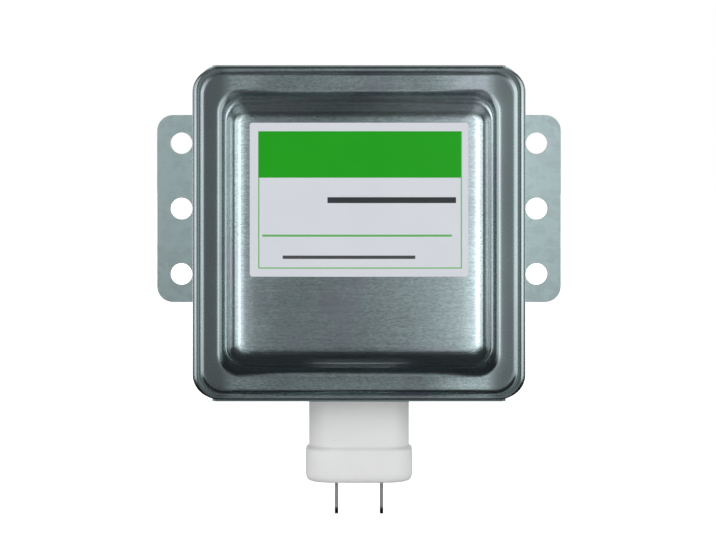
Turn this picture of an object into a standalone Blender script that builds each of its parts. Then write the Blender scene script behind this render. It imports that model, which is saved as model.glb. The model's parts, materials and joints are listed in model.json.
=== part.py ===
"""Cooker magnetron with its filter box, as one assembly of separate pieces.

World frame in metres: +X right, +Z up, -Y towards the viewer of the filter cover.
The origin is the centre of the mounting plate's waveguide face, on the antenna axis.
Nearly every piece is modelled in the tube frame, whose axes are x, up and depth.
Depth runs along the antenna axis from the waveguide face towards the filter cover.
The capacitor's pieces use the plug frame, whose axes are x, depth and out.
Out runs from the bottom wall of the filter box towards the tips of the tabs.
"""

import math

import bmesh
import bpy
from mathutils import Vector

# Clearance between two pieces that touch on the real object
GAP = 0.0003

# Mounting plate
PLATE_THICK = 0.0016
PLATE_HALF = (0.040, 0.033)
EAR_HALF = (0.054, 0.025)
EAR_CORNER, EAR_ROOT, PLATE_CORNER = 0.004, 0.002, 0.003
EAR_HOLE_X = 0.0475
EAR_HOLE_PITCH = 0.0175
EAR_HOLE_RADIUS = 0.0029
PLATE_BORE = 0.0106
COLLAR_INNER, COLLAR_OUTER, COLLAR_HEIGHT = 0.0169, 0.0181, 0.0022

# Yoke frame, a bent U whose open end is closed by the mounting plate
YOKE_THICK = 0.0016
YOKE_OUTER_X = 0.040
YOKE_HALF_UP = 0.033
YOKE_BACK = 0.0536
YOKE_BEND = 0.0023
YOKE_BORE = 0.0120
STAKE_UP, STAKE_HALF_LENGTH, STAKE_END = 0.013, 0.004, 0.0001
# The stakes are this much thinner than the sheet, so that no two faces lie in one plane
STAKE_EASE = 0.00002

# Ring magnets
MAGNET_OUTER, MAGNET_INNER, MAGNET_THICK, MAGNET_CHAMFER = 0.0275, 0.0102, 0.0130, 0.0008

# Anode and its vanes
ANODE_OUTER, ANODE_INNER, ANODE_STEP = 0.0195, 0.0175, 0.0182
ANODE_LENGTH, ANODE_STEP_DEPTH = 0.0216, 0.0022
VANE_COUNT = 10
VANE_THICK, VANE_HEIGHT, VANE_TIP = 0.0019, 0.0090, 0.0045
STRAP_RADII = (0.0057, 0.0074)
STRAP_WIDE, STRAP_HEIGHT = 0.0007, 0.0013

# Pole pieces and the two steel sleeves of the vacuum envelope
POLE_THICK, POLE_RIM, POLE_SHOULDER, POLE_NOSE, POLE_BORE = 0.0016, 0.0179, 0.0150, 0.0068, 0.0047
POLE_SLANT, POLE_CLEAR, LEAD_PASSAGE = 0.0006, 0.0005, 0.0017
SLEEVE_FLANGE, SLEEVE_OUTER, SLEEVE_WALL = 0.0192, 0.0098, 0.0005
OUTPUT_NECK, OUTPUT_NECK_END, OUTPUT_TAPER_START, OUTPUT_TAPER = 0.0082, -0.0105, -0.0060, 0.0025

# Output window, antenna cap and exhaust tube
WINDOW_OUTER, WINDOW_INNER, WINDOW_END = 0.0079, 0.0056, -0.0195
CAP_END, CAP_WALL, CAP_ROUND = -0.0290, 0.0005, 0.0010
EXHAUST_RADIUS, EXHAUST_BORE, EXHAUST_FLANGE = 0.0026, 0.0015, 0.0070
EXHAUST_PINCH, EXHAUST_PINCH_RADIUS, EXHAUST_FLANGE_THICK = 0.0023, 0.0008, 0.0005
LEAD_RADIUS, LEAD_OFFSET, LEAD_TIP = 0.0011, 0.0086, -0.0235
LEAD_BEND_START, LEAD_BEND_END, LEAD_BEND_PULL = 0.0185, 0.0050, 0.0047

# Cathode and stem
FILAMENT_RADIUS, FILAMENT_WIRE, FILAMENT_TURNS = 0.00175, 0.00026, 8
SHIELD_RADIUS, SHIELD_THICK = 0.0037, 0.0009
STEM_BEND_START, STEM_BEND_END, STEM_BEND_PULL = 0.0370, 0.0480, 0.0040
STEM_PIN_X, STEM_PIN_RADIUS, STEM_PIN_END = 0.0045, 0.0007, 0.0696
SIDE_LEAD_X, LEAD_GAP = 0.0023, 0.0001
STEM_TERMINAL_RADIUS, STEM_TERMINAL_THICK = 0.0029, 0.0008
STEM_SLEEVE_END, STEM_CERAMIC_END, STEM_CERAMIC_RADIUS = 0.0560, 0.0660, 0.0088

# Knitted gasket round the waveguide opening
GASKET_INNER, GASKET_OUTER, GASKET_TOP, GASKET_ROUND = 0.0110, 0.0164, -0.0060, 0.0018

# Cooling fins
FIN_COUNT, FIN_THICK, FIN_HALF_UP = 6, 0.0006, 0.030
FIN_PITCH_MIDDLE, FIN_PITCH_OUTER = 0.0036, 0.0074
FIN_REACH, FIN_BEND_IN, FIN_BEND_OUT, FIN_FOOT = 0.0377, 0.0278, 0.0330, 0.0030
FIN_COLLAR, FIN_COLLAR_WALL, FIN_FOLD = 0.0022, 0.0005, 0.0006

# Filter box, a drawn tray whose walls are notched at the corners, and its drawn cover
BOX_CENTRE_UP = -0.0045
BOX_HALF, BOX_CORNER, BOX_THICK, BOX_BEND = (0.0390, 0.0403), 0.0050, 0.0005, 0.0015
BOX_NOTCH_DEPTH, BOX_SIDE_DEPTH, BOX_LIP_DEPTH = 0.0753, 0.0793, 0.0807
BOX_LIP_HALF_X, BOX_SIDE_HALF_UP = 0.0342, 0.0335
BOX_BORE, BOX_PLUG_OPENING, BOX_PLUG_ROUND = 0.0108, (0.0080, 0.0044), 0.0040
COVER_HALF = (0.0400, 0.0396)
COVER_RIM_DEPTH, COVER_SKIRT, COVER_THICK = 0.0800, 0.0040, 0.0006
COVER_PANEL_RISE, COVER_PANEL_DROP = 0.0095, 0.0005
LABEL_HALF, LABEL_CORNER, LABEL_CENTRE_UP = (0.02585, 0.0182), 0.0006, 0.0037
LABEL_THICK, LABEL_GAP = 0.0001, 0.00005

# Feed-through capacitor with its plug
PLUG_DEPTH = 0.0660
CASE_HALF, COLLAR_HALF = (0.0122, 0.0080), (0.0130, 0.0088)
CASE_ROUND, CASE_BORE_HALF, CASE_BORE_ROUND = 0.0060, (0.0106, 0.0064), 0.0045
CASE_NECK_END, CASE_END = 0.0117, 0.0203
POTTING_START, POTTING_END = 0.0012, 0.0188
INNER_CASE_HALF, INNER_CASE_ROUND, INNER_CASE_WALL, INNER_CASE_END = (0.0110, 0.0074), 0.0060, 0.0012, -0.0139
CERAMIC_HALF, CERAMIC_ROUND, CERAMIC_END = (0.0090, 0.0045), 0.0044, -0.0095
FLANGE_HALF, FLANGE_CORNER, FLANGE_THICK = (0.0185, 0.0085), 0.0030, 0.0008
FLANGE_OPENING = (0.0080, 0.0042)
RIVET_X, RIVET_SHANK, RIVET_HEAD, RIVET_HEAD_THICK, RIVET_CROWN = 0.0152, 0.0014, 0.0026, 0.0006, 0.0004
TAB_X, TAB_THICK, TAB_WIDE, TAB_TIP = 0.0055, 0.0008, 0.0063, 0.0284
TAB_TAPER, TAB_TAPER_LENGTH = 0.0011, 0.0016
TAB_HOLE, TAB_HOLE_PLACE, TAB_ROD, TAB_INNER_END = 0.0008, 0.0040, 0.0009, -0.0169

# Choke coils on their ferrite rods
CHOKE_X, CHOKE_DEPTH, CHOKE_RADIUS, CHOKE_WIRE = 0.0200, 0.0670, 0.0036, 0.00065
CHOKE_TURNS, CHOKE_PITCH, CHOKE_START_UP = 10.25, 0.0023, -0.0230
FERRITE_RADIUS, FERRITE_LOW, FERRITE_HIGH = 0.00265, -0.0215, -0.0015
WELD_OVERLAP = 0.0008
# How far the lead's ends pull its bend: near the pin in x, near the coil in up and depth
CHOKE_BEND_X, CHOKE_BEND_COIL = (0.002, 0.008), (0.0006, 0.0040)

# Facets round a full circle
FINE, MEDIUM, COARSE = 28, 20, 12
# Points in each turn of a coil, and the bevel setting that gives a wire six sides
COIL_POINTS, WIRE_BEVEL = 8, 1

# Colour, roughness and metallic value of each finish
FINISHES = {
    "galvanised_sheet": ((0.47, 0.50, 0.50), 0.38, 1.0),
    "drawn_steel": ((0.40, 0.44, 0.45), 0.33, 1.0),
    "nickel_steel": ((0.62, 0.61, 0.58), 0.25, 1.0),
    "aluminium": ((0.80, 0.81, 0.82), 0.35, 1.0),
    "copper": ((0.80, 0.42, 0.27), 0.30, 1.0),
    "tungsten": ((0.30, 0.29, 0.28), 0.45, 1.0),
    "ferrite": ((0.055, 0.055, 0.060), 0.75, 0.0),
    "alumina": ((0.86, 0.83, 0.80), 0.45, 0.0),
    "titanate": ((0.62, 0.50, 0.38), 0.60, 0.0),
    "white_plastic": ((0.82, 0.83, 0.81), 0.45, 0.0),
    "potting": ((0.55, 0.54, 0.50), 0.50, 0.0),
    "tinned_brass": ((0.66, 0.66, 0.64), 0.28, 1.0),
    "label_film": ((0.62, 0.64, 0.67), 0.40, 0.0),
}

# Places that follow from the sizes above, along the tube's axis
MAGNET_1_DEPTH = PLATE_THICK + GAP
MAGNET_2_DEPTH = YOKE_BACK - YOKE_THICK - GAP - MAGNET_THICK
ANODE_MIDDLE = (MAGNET_1_DEPTH + MAGNET_2_DEPTH + MAGNET_THICK) / 2
ANODE_START = ANODE_MIDDLE - ANODE_LENGTH / 2
VANE_START = ANODE_MIDDLE - VANE_HEIGHT / 2
BOX_BACK = YOKE_BACK + GAP
BOX_BOTTOM_UP = BOX_CENTRE_UP - BOX_HALF[1]
COVER_PANEL_DEPTH = COVER_RIM_DEPTH + COVER_PANEL_RISE


def clear_scene():
    for obj in list(bpy.data.objects):
        bpy.data.objects.remove(obj, do_unlink=True)


def make_frame(name, location, turn_about_x):
    frame = bpy.data.objects.new(name, None)
    frame.location = location
    frame.rotation_euler = (turn_about_x, 0, 0)
    bpy.context.scene.collection.objects.link(frame)
    return frame


def make_material(name, finish):
    colour, roughness, metallic = FINISHES[finish]
    material = bpy.data.materials.new(name + "_" + finish)
    material.use_nodes = True
    shader = material.node_tree.nodes["Principled BSDF"]
    shader.inputs["Base Color"].default_value = (*colour, 1)
    shader.inputs["Roughness"].default_value = roughness
    shader.inputs["Metallic"].default_value = metallic
    return material


def add_object(name, data, frame, finish=None):
    """A piece of the object, or a cutter when it has no finish."""
    obj = bpy.data.objects.new(name, data)
    obj.parent = frame
    bpy.context.scene.collection.objects.link(obj)
    if finish is None:
        obj.hide_render = True
        obj.display_type = "WIRE"
    else:
        data.materials.append(make_material(name, finish))
    return obj


def mesh_from(name, bm):
    bmesh.ops.remove_doubles(bm, verts=bm.verts, dist=1e-7)
    bmesh.ops.recalc_face_normals(bm, faces=bm.faces)
    mesh = bpy.data.meshes.new(name)
    bm.to_mesh(mesh)
    bm.free()
    mesh.shade_smooth()
    mesh.set_sharp_from_angle(angle=math.radians(35))
    return mesh


def boolean(obj, tool, operation="DIFFERENCE"):
    modifier = obj.modifiers.new(tool.name, "BOOLEAN")
    modifier.operation = operation
    modifier.object = tool
    modifier.solver = "EXACT"
    return obj


def filleted(corners, closed=True, steps=4):
    """The points of a path through corners (u, v, radius), each rounded by an arc."""
    points = []
    count = len(corners)
    for i, (u, v, radius) in enumerate(corners):
        here = Vector((u, v))
        at_end = not closed and i in (0, count - 1)
        if radius == 0 or at_end:
            points.append(here)
            continue
        before = (Vector(corners[i - 1][:2]) - here).normalized()
        after = (Vector(corners[(i + 1) % count][:2]) - here).normalized()
        half_angle = before.angle(after) / 2
        centre = here + (before + after).normalized() * radius / math.sin(half_angle)
        start = here + before * radius / math.tan(half_angle) - centre
        sweep = start.angle_signed(here + after * radius / math.tan(half_angle) - centre)
        for step in range(steps + 1):
            turn = -sweep * step / steps
            points.append(centre + Vector((
                start.x * math.cos(turn) - start.y * math.sin(turn),
                start.x * math.sin(turn) + start.y * math.cos(turn),
            )))
    return points


def rectangle(half_u, half_v, radius, centre=(0, 0), steps=4):
    signs = ((-1, -1), (1, -1), (1, 1), (-1, 1))
    corners = [(centre[0] + su * half_u, centre[1] + sv * half_v, radius) for su, sv in signs]
    return filleted(corners, steps=steps)


def circle(radius, centre=(0, 0), segments=MEDIUM):
    angles = [2 * math.pi * i / segments for i in range(segments)]
    return [Vector((centre[0] + radius * math.cos(t), centre[1] + radius * math.sin(t))) for t in angles]


def sheet_section(path, thick):
    """The closed outline of a bent sheet whose middle line is the path."""
    sides = ([], [])
    for i, point in enumerate(path):
        into = (point - path[i - 1]).normalized() if i else None
        onward = (path[i + 1] - point).normalized() if i + 1 < len(path) else into
        into = into or onward
        along = (into + onward).normalized()
        across = Vector((-along.y, along.x)) * (thick / 2) / along.dot(onward)
        sides[0].append(point + across)
        sides[1].append(point - across)
    return sides[0] + sides[1][::-1]


# How a section's (u, v) and the distance along the prism become a place in the frame
PRISM_AXES = {
    "third": lambda u, v, along: (u, v, along),
    "second": lambda u, v, along: (u, along, v),
    "first": lambda u, v, along: (along, u, v),
}


def add_prism(bm, outline, low, high, axis="third"):
    place = PRISM_AXES[axis]
    ends = [[bm.verts.new(place(p[0], p[1], along)) for p in outline] for along in (low, high)]
    bm.faces.new(ends[0])
    bm.faces.new(ends[1])
    for i in range(len(outline)):
        j = (i + 1) % len(outline)
        bm.faces.new((ends[0][i], ends[0][j], ends[1][j], ends[1][i]))


def prism(name, outline, low, high, axis="third"):
    bm = bmesh.new()
    add_prism(bm, outline, low, high, axis)
    return mesh_from(name, bm)


def turned(name, profile, segments=MEDIUM, centre=(0, 0)):
    """A solid turned about the third axis from a closed profile of (along, radius)."""
    bm = bmesh.new()
    verts = [bm.verts.new((radius, 0, along)) for along, radius in profile]
    edges = [bm.edges.new((verts[i - 1], verts[i])) for i in range(len(verts))]
    on_axis = [edge for edge in edges if all(v.co.x == 0 for v in edge.verts)]
    for edge in on_axis:
        bm.edges.remove(edge)
    bmesh.ops.spin(
        bm,
        geom=bm.verts[:] + bm.edges[:],
        cent=(0, 0, 0),
        axis=(0, 0, 1),
        angle=2 * math.pi,
        steps=segments,
        use_merge=True,
    )
    bmesh.ops.translate(bm, verts=bm.verts, vec=(*centre, 0))
    return mesh_from(name, bm)


def lofted(name, rings, close="ends"):
    """A skin through rings of equal point counts, closed by end faces or back to the first ring."""
    bm = bmesh.new()
    loops = [[bm.verts.new(point) for point in ring] for ring in rings]
    pairs = list(zip(loops, loops[1:]))
    if close == "loop":
        pairs.append((loops[-1], loops[0]))
    else:
        bm.faces.new(loops[-1])
    if close == "ends":
        bm.faces.new(loops[0])
    for first, second in pairs:
        for i in range(len(first)):
            bm.faces.new((first[i - 1], first[i], second[i], second[i - 1]))
    return mesh_from(name, bm)


def wire(name, points, radius, frame, finish):
    """A round wire along the points, as a bevelled curve with filled ends."""
    curve = bpy.data.curves.new(name, "CURVE")
    curve.dimensions = "3D"
    curve.bevel_depth = radius
    curve.bevel_resolution = WIRE_BEVEL
    curve.use_fill_caps = True
    spline = curve.splines.new("POLY")
    spline.points.add(len(points) - 1)
    for spline_point, point in zip(spline.points, points):
        spline_point.co = (*point, 1)
    return add_object(name, curve, frame, finish)


def bezier(p0, p1, p2, p3, count):
    """Points along a cubic curve, without its last point."""
    points = []
    for i in range(count):
        t = i / count
        weights = ((1 - t) ** 3, 3 * t * (1 - t) ** 2, 3 * t * t * (1 - t), t**3)
        points.append(sum((w * Vector(p) for w, p in zip(weights, (p0, p1, p2, p3))), Vector((0, 0, 0))))
    return points


def make_mounting_plate(tube):
    (px, pu), (ex, eu) = PLATE_HALF, EAR_HALF
    quarter = [(ex, eu, EAR_CORNER), (px, eu, EAR_ROOT), (px, pu, PLATE_CORNER)]
    corners = quarter + [(-x, u, r) for x, u, r in quarter[::-1]]
    corners += [(-x, -u, r) for x, u, r in quarter] + [(x, -u, r) for x, u, r in quarter[::-1]]
    plate = add_object(
        "mounting_plate",
        prism("mounting_plate", filleted(corners), 0, PLATE_THICK),
        tube,
        "galvanised_sheet",
    )
    collar = [
        (PLATE_THICK / 2, COLLAR_INNER),
        (-COLLAR_HEIGHT, COLLAR_INNER),
        (-COLLAR_HEIGHT, COLLAR_OUTER),
        (PLATE_THICK / 2, COLLAR_OUTER),
    ]
    boolean(plate, add_object("gasket_collar", turned("gasket_collar", collar, FINE), tube), "UNION")
    bm = bmesh.new()
    past = 0.001
    add_prism(bm, circle(PLATE_BORE), -past, PLATE_THICK + past)
    for side in (-1, 1):
        for row in (-1, 0, 1):
            hole = circle(EAR_HOLE_RADIUS, (side * EAR_HOLE_X, row * EAR_HOLE_PITCH), 16)
            add_prism(bm, hole, -past, PLATE_THICK + past)
        for row in (-1, 1):
            slot = rectangle(
                YOKE_THICK / 2 + GAP,
                STAKE_HALF_LENGTH + GAP,
                GAP,
                (side * (YOKE_OUTER_X - YOKE_THICK / 2), row * STAKE_UP),
                steps=1,
            )
            add_prism(bm, slot, -past, PLATE_THICK + past)
    boolean(plate, add_object("plate_holes", mesh_from("plate_holes", bm), tube))


def make_yoke(tube):
    middle_x = YOKE_OUTER_X - YOKE_THICK / 2
    middle_back = YOKE_BACK - YOKE_THICK / 2
    front = PLATE_THICK + GAP
    corners = [
        (-middle_x, front, 0),
        (-middle_x, middle_back, YOKE_BEND),
        (middle_x, middle_back, YOKE_BEND),
        (middle_x, front, 0),
    ]
    section = sheet_section(filleted(corners, closed=False), YOKE_THICK)
    yoke = add_object(
        "yoke_frame",
        prism("yoke_frame", section, -YOKE_HALF_UP, YOKE_HALF_UP, "second"),
        tube,
        "galvanised_sheet",
    )
    bm = bmesh.new()
    for side in (-1, 1):
        for row in (-1, 1):
            place = (side * middle_x, row * STAKE_UP)
            stake = rectangle(YOKE_THICK / 2 - STAKE_EASE, STAKE_HALF_LENGTH, 0, place)
            add_prism(bm, stake, STAKE_END, front + YOKE_THICK)
    boolean(yoke, add_object("yoke_stakes", mesh_from("yoke_stakes", bm), tube), "UNION")
    bore = prism("yoke_bore", circle(YOKE_BORE), middle_back - YOKE_THICK, middle_back + YOKE_THICK)
    boolean(yoke, add_object("yoke_bore", bore, tube))


def make_magnets(tube):
    for name, start in (("magnet_output_side", MAGNET_1_DEPTH), ("magnet_stem_side", MAGNET_2_DEPTH)):
        end = start + MAGNET_THICK
        profile = [
            (start, MAGNET_INNER),
            (start, MAGNET_OUTER - MAGNET_CHAMFER),
            (start + MAGNET_CHAMFER, MAGNET_OUTER),
            (end - MAGNET_CHAMFER, MAGNET_OUTER),
            (end, MAGNET_OUTER - MAGNET_CHAMFER),
            (end, MAGNET_INNER),
        ]
        add_object(name, turned(name, profile, FINE), tube, "ferrite")


def make_cooling_fins(tube):
    """Six joggled fins pressed on the anode, spread apart beyond the magnets."""
    for i in range(FIN_COUNT):
        place = i - (FIN_COUNT - 1) / 2
        middle = ANODE_MIDDLE + place * FIN_PITCH_MIDDLE
        outer = ANODE_MIDDLE + place * FIN_PITCH_OUTER
        half = [
            (FIN_REACH, outer + FIN_FOOT, 0),
            (FIN_REACH, outer, FIN_FOLD),
            (FIN_BEND_OUT, outer, 0),
            (FIN_BEND_IN, middle, 0),
        ]
        corners = half + [(-x, depth, r) for x, depth, r in half[::-1]]
        section = sheet_section(filleted(corners, closed=False, steps=2), FIN_THICK)
        name = f"cooling_fin_{i + 1}"
        sheet = prism(name, section, -FIN_HALF_UP, FIN_HALF_UP, "second")
        fin = add_object(name, sheet, tube, "aluminium")
        bore = ANODE_OUTER + GAP
        burr = circle(bore + FIN_COLLAR_WALL, segments=FINE)
        boss = prism(name + "_burr", burr, middle, middle + FIN_COLLAR)
        boolean(fin, add_object(name + "_burr", boss, tube), "UNION")
        ring = circle(bore, segments=FINE)
        hole = prism(name + "_bore", ring, middle - FIN_COLLAR, middle + 2 * FIN_COLLAR)
        boolean(fin, add_object(name + "_bore", hole, tube))


def make_anode(tube):
    end = ANODE_START + ANODE_LENGTH
    profile = [
        (ANODE_START, ANODE_STEP),
        (ANODE_START, ANODE_OUTER),
        (end, ANODE_OUTER),
        (end, ANODE_STEP),
        (end - ANODE_STEP_DEPTH, ANODE_STEP),
        (end - ANODE_STEP_DEPTH, ANODE_INNER),
        (ANODE_START + ANODE_STEP_DEPTH, ANODE_INNER),
        (ANODE_START + ANODE_STEP_DEPTH, ANODE_STEP),
    ]
    add_object("anode_cylinder", turned("anode_cylinder", profile, FINE), tube, "copper")


def vane_outline(touches_inner_strap):
    """(radius, depth) outline of one vane, notched at both ends for the straps."""
    low, high = VANE_START, VANE_START + VANE_HEIGHT
    clear = 0.0004
    inner = STRAP_RADII[0] - STRAP_WIDE / 2
    between = (STRAP_RADII[0] + STRAP_RADII[1]) / 2
    outer = STRAP_RADII[1] + STRAP_WIDE / 2
    deep = STRAP_HEIGHT + 2.5 * clear
    shallow = STRAP_HEIGHT + GAP
    first, second = (shallow, deep) if touches_inner_strap else (deep, shallow)
    notch = [
        (inner - clear, 0),
        (inner - clear, first),
        (between, first),
        (between, second),
        (outer + clear, second),
        (outer + clear, 0),
    ]
    wall = ANODE_INNER - GAP
    outline = [(VANE_TIP, low)] + [(r, low + d) for r, d in notch] + [(wall, low), (wall, high)]
    return outline + [(r, high - d) for r, d in notch[::-1]] + [(VANE_TIP, high)]


def make_vanes(tube):
    """Ten radial vanes, which touch the inner and the outer strap by turns."""
    for i in range(VANE_COUNT):
        name = f"anode_vane_{i + 1:02d}"
        mesh = prism(name, vane_outline(i % 2 == 0), -VANE_THICK / 2, VANE_THICK / 2, "second")
        vane = add_object(name, mesh, tube, "copper")
        vane.rotation_euler = (0, 0, 2 * math.pi * i / VANE_COUNT)


def make_straps(tube):
    for ring, radius in zip(("inner", "outer"), STRAP_RADII):
        for end, start in (("output", VANE_START), ("stem", VANE_START + VANE_HEIGHT - STRAP_HEIGHT)):
            name = f"strap_{ring}_{end}_end"
            edges = (radius - STRAP_WIDE / 2, radius + STRAP_WIDE / 2)
            profile = [(start, edges[0]), (start, edges[1])]
            profile += [(start + STRAP_HEIGHT, edges[1]), (start + STRAP_HEIGHT, edges[0])]
            add_object(name, turned(name, profile), tube, "copper")


def make_pole_pieces(tube):
    """Two dished iron washers that draw the field into the space round the cathode."""
    rim = ANODE_START + GAP
    nose = VANE_START - POLE_CLEAR - POLE_THICK
    profile = [
        (rim, POLE_RIM),
        (rim, POLE_SHOULDER),
        (nose, POLE_NOSE),
        (nose, POLE_BORE),
        (nose + POLE_THICK, POLE_BORE),
        (nose + POLE_THICK, POLE_NOSE + POLE_SLANT),
        (rim + POLE_THICK, POLE_SHOULDER + POLE_SLANT),
        (rim + POLE_THICK, POLE_RIM),
    ]
    pole = add_object("pole_piece_output", turned("pole_piece_output", profile), tube, "nickel_steel")
    passage = prism("lead_passage", circle(LEAD_PASSAGE, (LEAD_OFFSET, 0), COARSE), rim, VANE_START)
    boolean(pole, add_object("lead_passage", passage, tube))
    mirrored = [(2 * ANODE_MIDDLE - depth, radius) for depth, radius in profile]
    add_object("pole_piece_stem", turned("pole_piece_stem", mirrored), tube, "nickel_steel")


def make_sleeves(tube):
    inner = SLEEVE_OUTER - SLEEVE_WALL
    neck_inner = OUTPUT_NECK - SLEEVE_WALL
    seat = ANODE_START - GAP
    taper_end = OUTPUT_TAPER_START - OUTPUT_TAPER
    profile = [
        (seat, inner),
        (seat, SLEEVE_FLANGE),
        (seat - SLEEVE_WALL, SLEEVE_FLANGE),
        (seat - SLEEVE_WALL, SLEEVE_OUTER),
        (OUTPUT_TAPER_START, SLEEVE_OUTER),
        (taper_end, OUTPUT_NECK),
        (OUTPUT_NECK_END, OUTPUT_NECK),
        (OUTPUT_NECK_END, neck_inner),
        (taper_end, neck_inner),
        (OUTPUT_TAPER_START, inner),
    ]
    add_object("output_sleeve", turned("output_sleeve", profile), tube, "nickel_steel")
    seat = ANODE_START + ANODE_LENGTH + GAP
    profile = [
        (seat, inner),
        (seat, SLEEVE_FLANGE),
        (seat + SLEEVE_WALL, SLEEVE_FLANGE),
        (seat + SLEEVE_WALL, SLEEVE_OUTER),
        (STEM_SLEEVE_END, SLEEVE_OUTER),
        (STEM_SLEEVE_END, inner),
    ]
    add_object("stem_sleeve", turned("stem_sleeve", profile), tube, "nickel_steel")


def make_output_window(tube):
    start = OUTPUT_NECK_END - GAP
    profile = [
        (start, WINDOW_INNER),
        (start, WINDOW_OUTER),
        (WINDOW_END, WINDOW_OUTER),
        (WINDOW_END, WINDOW_INNER),
    ]
    add_object("output_ceramic", turned("output_ceramic", profile), tube, "alumina")
    mouth = WINDOW_END - GAP
    wall = WINDOW_OUTER - CAP_WALL
    roof = CAP_END + CAP_WALL
    profile = [
        (CAP_END, 0),
        (CAP_END, WINDOW_OUTER - CAP_ROUND),
        (CAP_END + 0.3 * CAP_ROUND, WINDOW_OUTER - 0.3 * CAP_ROUND),
        (CAP_END + CAP_ROUND, WINDOW_OUTER),
        (mouth, WINDOW_OUTER),
        (mouth, wall),
        (roof + 0.5 * CAP_ROUND, wall),
        (roof, wall - 0.5 * CAP_ROUND),
        (roof, 0),
    ]
    add_object("antenna_cap", turned("antenna_cap", profile), tube, "nickel_steel")
    pinch = roof + 4 * GAP
    full = pinch + EXHAUST_PINCH
    profile = [
        (pinch, 0),
        (pinch, EXHAUST_PINCH_RADIUS),
        (full, EXHAUST_RADIUS),
        (mouth - EXHAUST_FLANGE_THICK, EXHAUST_RADIUS),
        (mouth - EXHAUST_FLANGE_THICK, EXHAUST_FLANGE),
        (mouth, EXHAUST_FLANGE),
        (mouth, EXHAUST_BORE),
        (full + EXHAUST_PINCH_RADIUS, EXHAUST_BORE),
        (full + EXHAUST_PINCH_RADIUS, 0),
    ]
    add_object("exhaust_tube", turned("exhaust_tube", profile, COARSE), tube, "copper")


def make_antenna_lead(tube):
    """The lead from a vane through the output pole piece and up the middle of the window."""
    points = [Vector((LEAD_OFFSET, 0, VANE_START - GAP))]
    start, end = (LEAD_OFFSET, 0, LEAD_BEND_START), (0, 0, LEAD_BEND_END)
    leave = (LEAD_OFFSET, 0, LEAD_BEND_START - LEAD_BEND_PULL)
    arrive = (0, 0, LEAD_BEND_END + LEAD_BEND_PULL)
    points += bezier(start, leave, arrive, end, 10)
    points += [Vector(end), Vector((0, 0, LEAD_TIP))]
    wire("antenna_lead", points, LEAD_RADIUS, tube, "copper")


def make_cathode(tube):
    """The helical filament between its end shields, and its two leads down to the stem."""
    start = VANE_START + FILAMENT_WIRE
    rise = (VANE_HEIGHT - 2 * FILAMENT_WIRE) / FILAMENT_TURNS
    points = []
    for i in range(FILAMENT_TURNS * COIL_POINTS + 1):
        turn = 2 * math.pi * i / COIL_POINTS
        x, up = FILAMENT_RADIUS * math.cos(turn), FILAMENT_RADIUS * math.sin(turn)
        points.append((x, up, start + rise * i / COIL_POINTS))
    wire("filament", points, FILAMENT_WIRE, tube, "tungsten")
    shield_1 = VANE_START - GAP - SHIELD_THICK
    shield_2 = VANE_START + VANE_HEIGHT + GAP
    for name, low in (("end_shield_output", shield_1), ("end_shield_stem", shield_2)):
        bore, high = STEM_PIN_RADIUS + GAP, low + SHIELD_THICK
        profile = [(low, bore), (low, SHIELD_RADIUS), (high, SHIELD_RADIUS), (high, bore)]
        add_object(name, turned(name, profile, COARSE), tube, "tungsten")
    for name, side, x, top in (
        ("centre_lead", -1, 0, shield_1 - LEAD_GAP),
        ("side_lead", 1, SIDE_LEAD_X, shield_2 + SHIELD_THICK + LEAD_GAP),
    ):
        pin = side * STEM_PIN_X
        points = [Vector((x, 0, top))]
        leave = (x, 0, STEM_BEND_START + STEM_BEND_PULL)
        arrive = (pin, 0, STEM_BEND_END - STEM_BEND_PULL)
        points += bezier((x, 0, STEM_BEND_START), leave, arrive, (pin, 0, STEM_BEND_END), 6)
        points += [Vector((pin, 0, STEM_BEND_END)), Vector((pin, 0, STEM_PIN_END))]
        wire(name, points, STEM_PIN_RADIUS, tube, "tungsten")


def make_stem(tube):
    low = STEM_SLEEVE_END + GAP
    profile = [
        (low, 0),
        (low, STEM_CERAMIC_RADIUS),
        (STEM_CERAMIC_END, STEM_CERAMIC_RADIUS),
        (STEM_CERAMIC_END, 0),
    ]
    ceramic = add_object("stem_ceramic", turned("stem_ceramic", profile), tube, "alumina")
    bm = bmesh.new()
    bore = STEM_PIN_RADIUS + GAP
    for side in (-1, 1):
        add_prism(bm, circle(bore, (side * STEM_PIN_X, 0), COARSE), low - 0.001, STEM_CERAMIC_END + 0.001)
    boolean(ceramic, add_object("stem_bores", mesh_from("stem_bores", bm), tube))
    seat = STEM_CERAMIC_END + GAP
    for name, side in (("stem_terminal_left", -1), ("stem_terminal_right", 1)):
        end, radius = seat + STEM_TERMINAL_THICK, STEM_TERMINAL_RADIUS
        profile = [(seat, bore), (seat, radius), (end, radius), (end, bore)]
        mesh = turned(name, profile, COARSE, (side * STEM_PIN_X, 0))
        add_object(name, mesh, tube, "nickel_steel")


def make_gasket(tube):
    """The knitted wire ring that seals the plate to the waveguide, as its outer shape."""
    middle = ((GASKET_TOP - GAP) / 2, (GASKET_INNER + GASKET_OUTER) / 2)
    half_high, half_wide = (-GAP - GASKET_TOP) / 2, (GASKET_OUTER - GASKET_INNER) / 2
    section = rectangle(half_high, half_wide, GASKET_ROUND, middle, 2)
    mesh = turned("rf_gasket", [tuple(p) for p in section])
    add_object("rf_gasket", mesh, tube, "tinned_brass")


def tray_rings(inset, front):
    """Rings of a tray's skin from its open front to its floor, each moved in by the inset."""
    rings = []
    for rounding, depth in ((0, front), (0, BOX_BEND), (0.3, 0.3 * BOX_BEND), (1, 0)):
        shrink = inset + rounding * BOX_BEND
        half = (BOX_HALF[0] - shrink, BOX_HALF[1] - shrink)
        ring = rectangle(*half, BOX_CORNER - shrink, (0, BOX_CENTRE_UP))
        rings.append([(x, up, BOX_BACK + inset + depth) for x, up in ring])
    return rings


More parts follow.
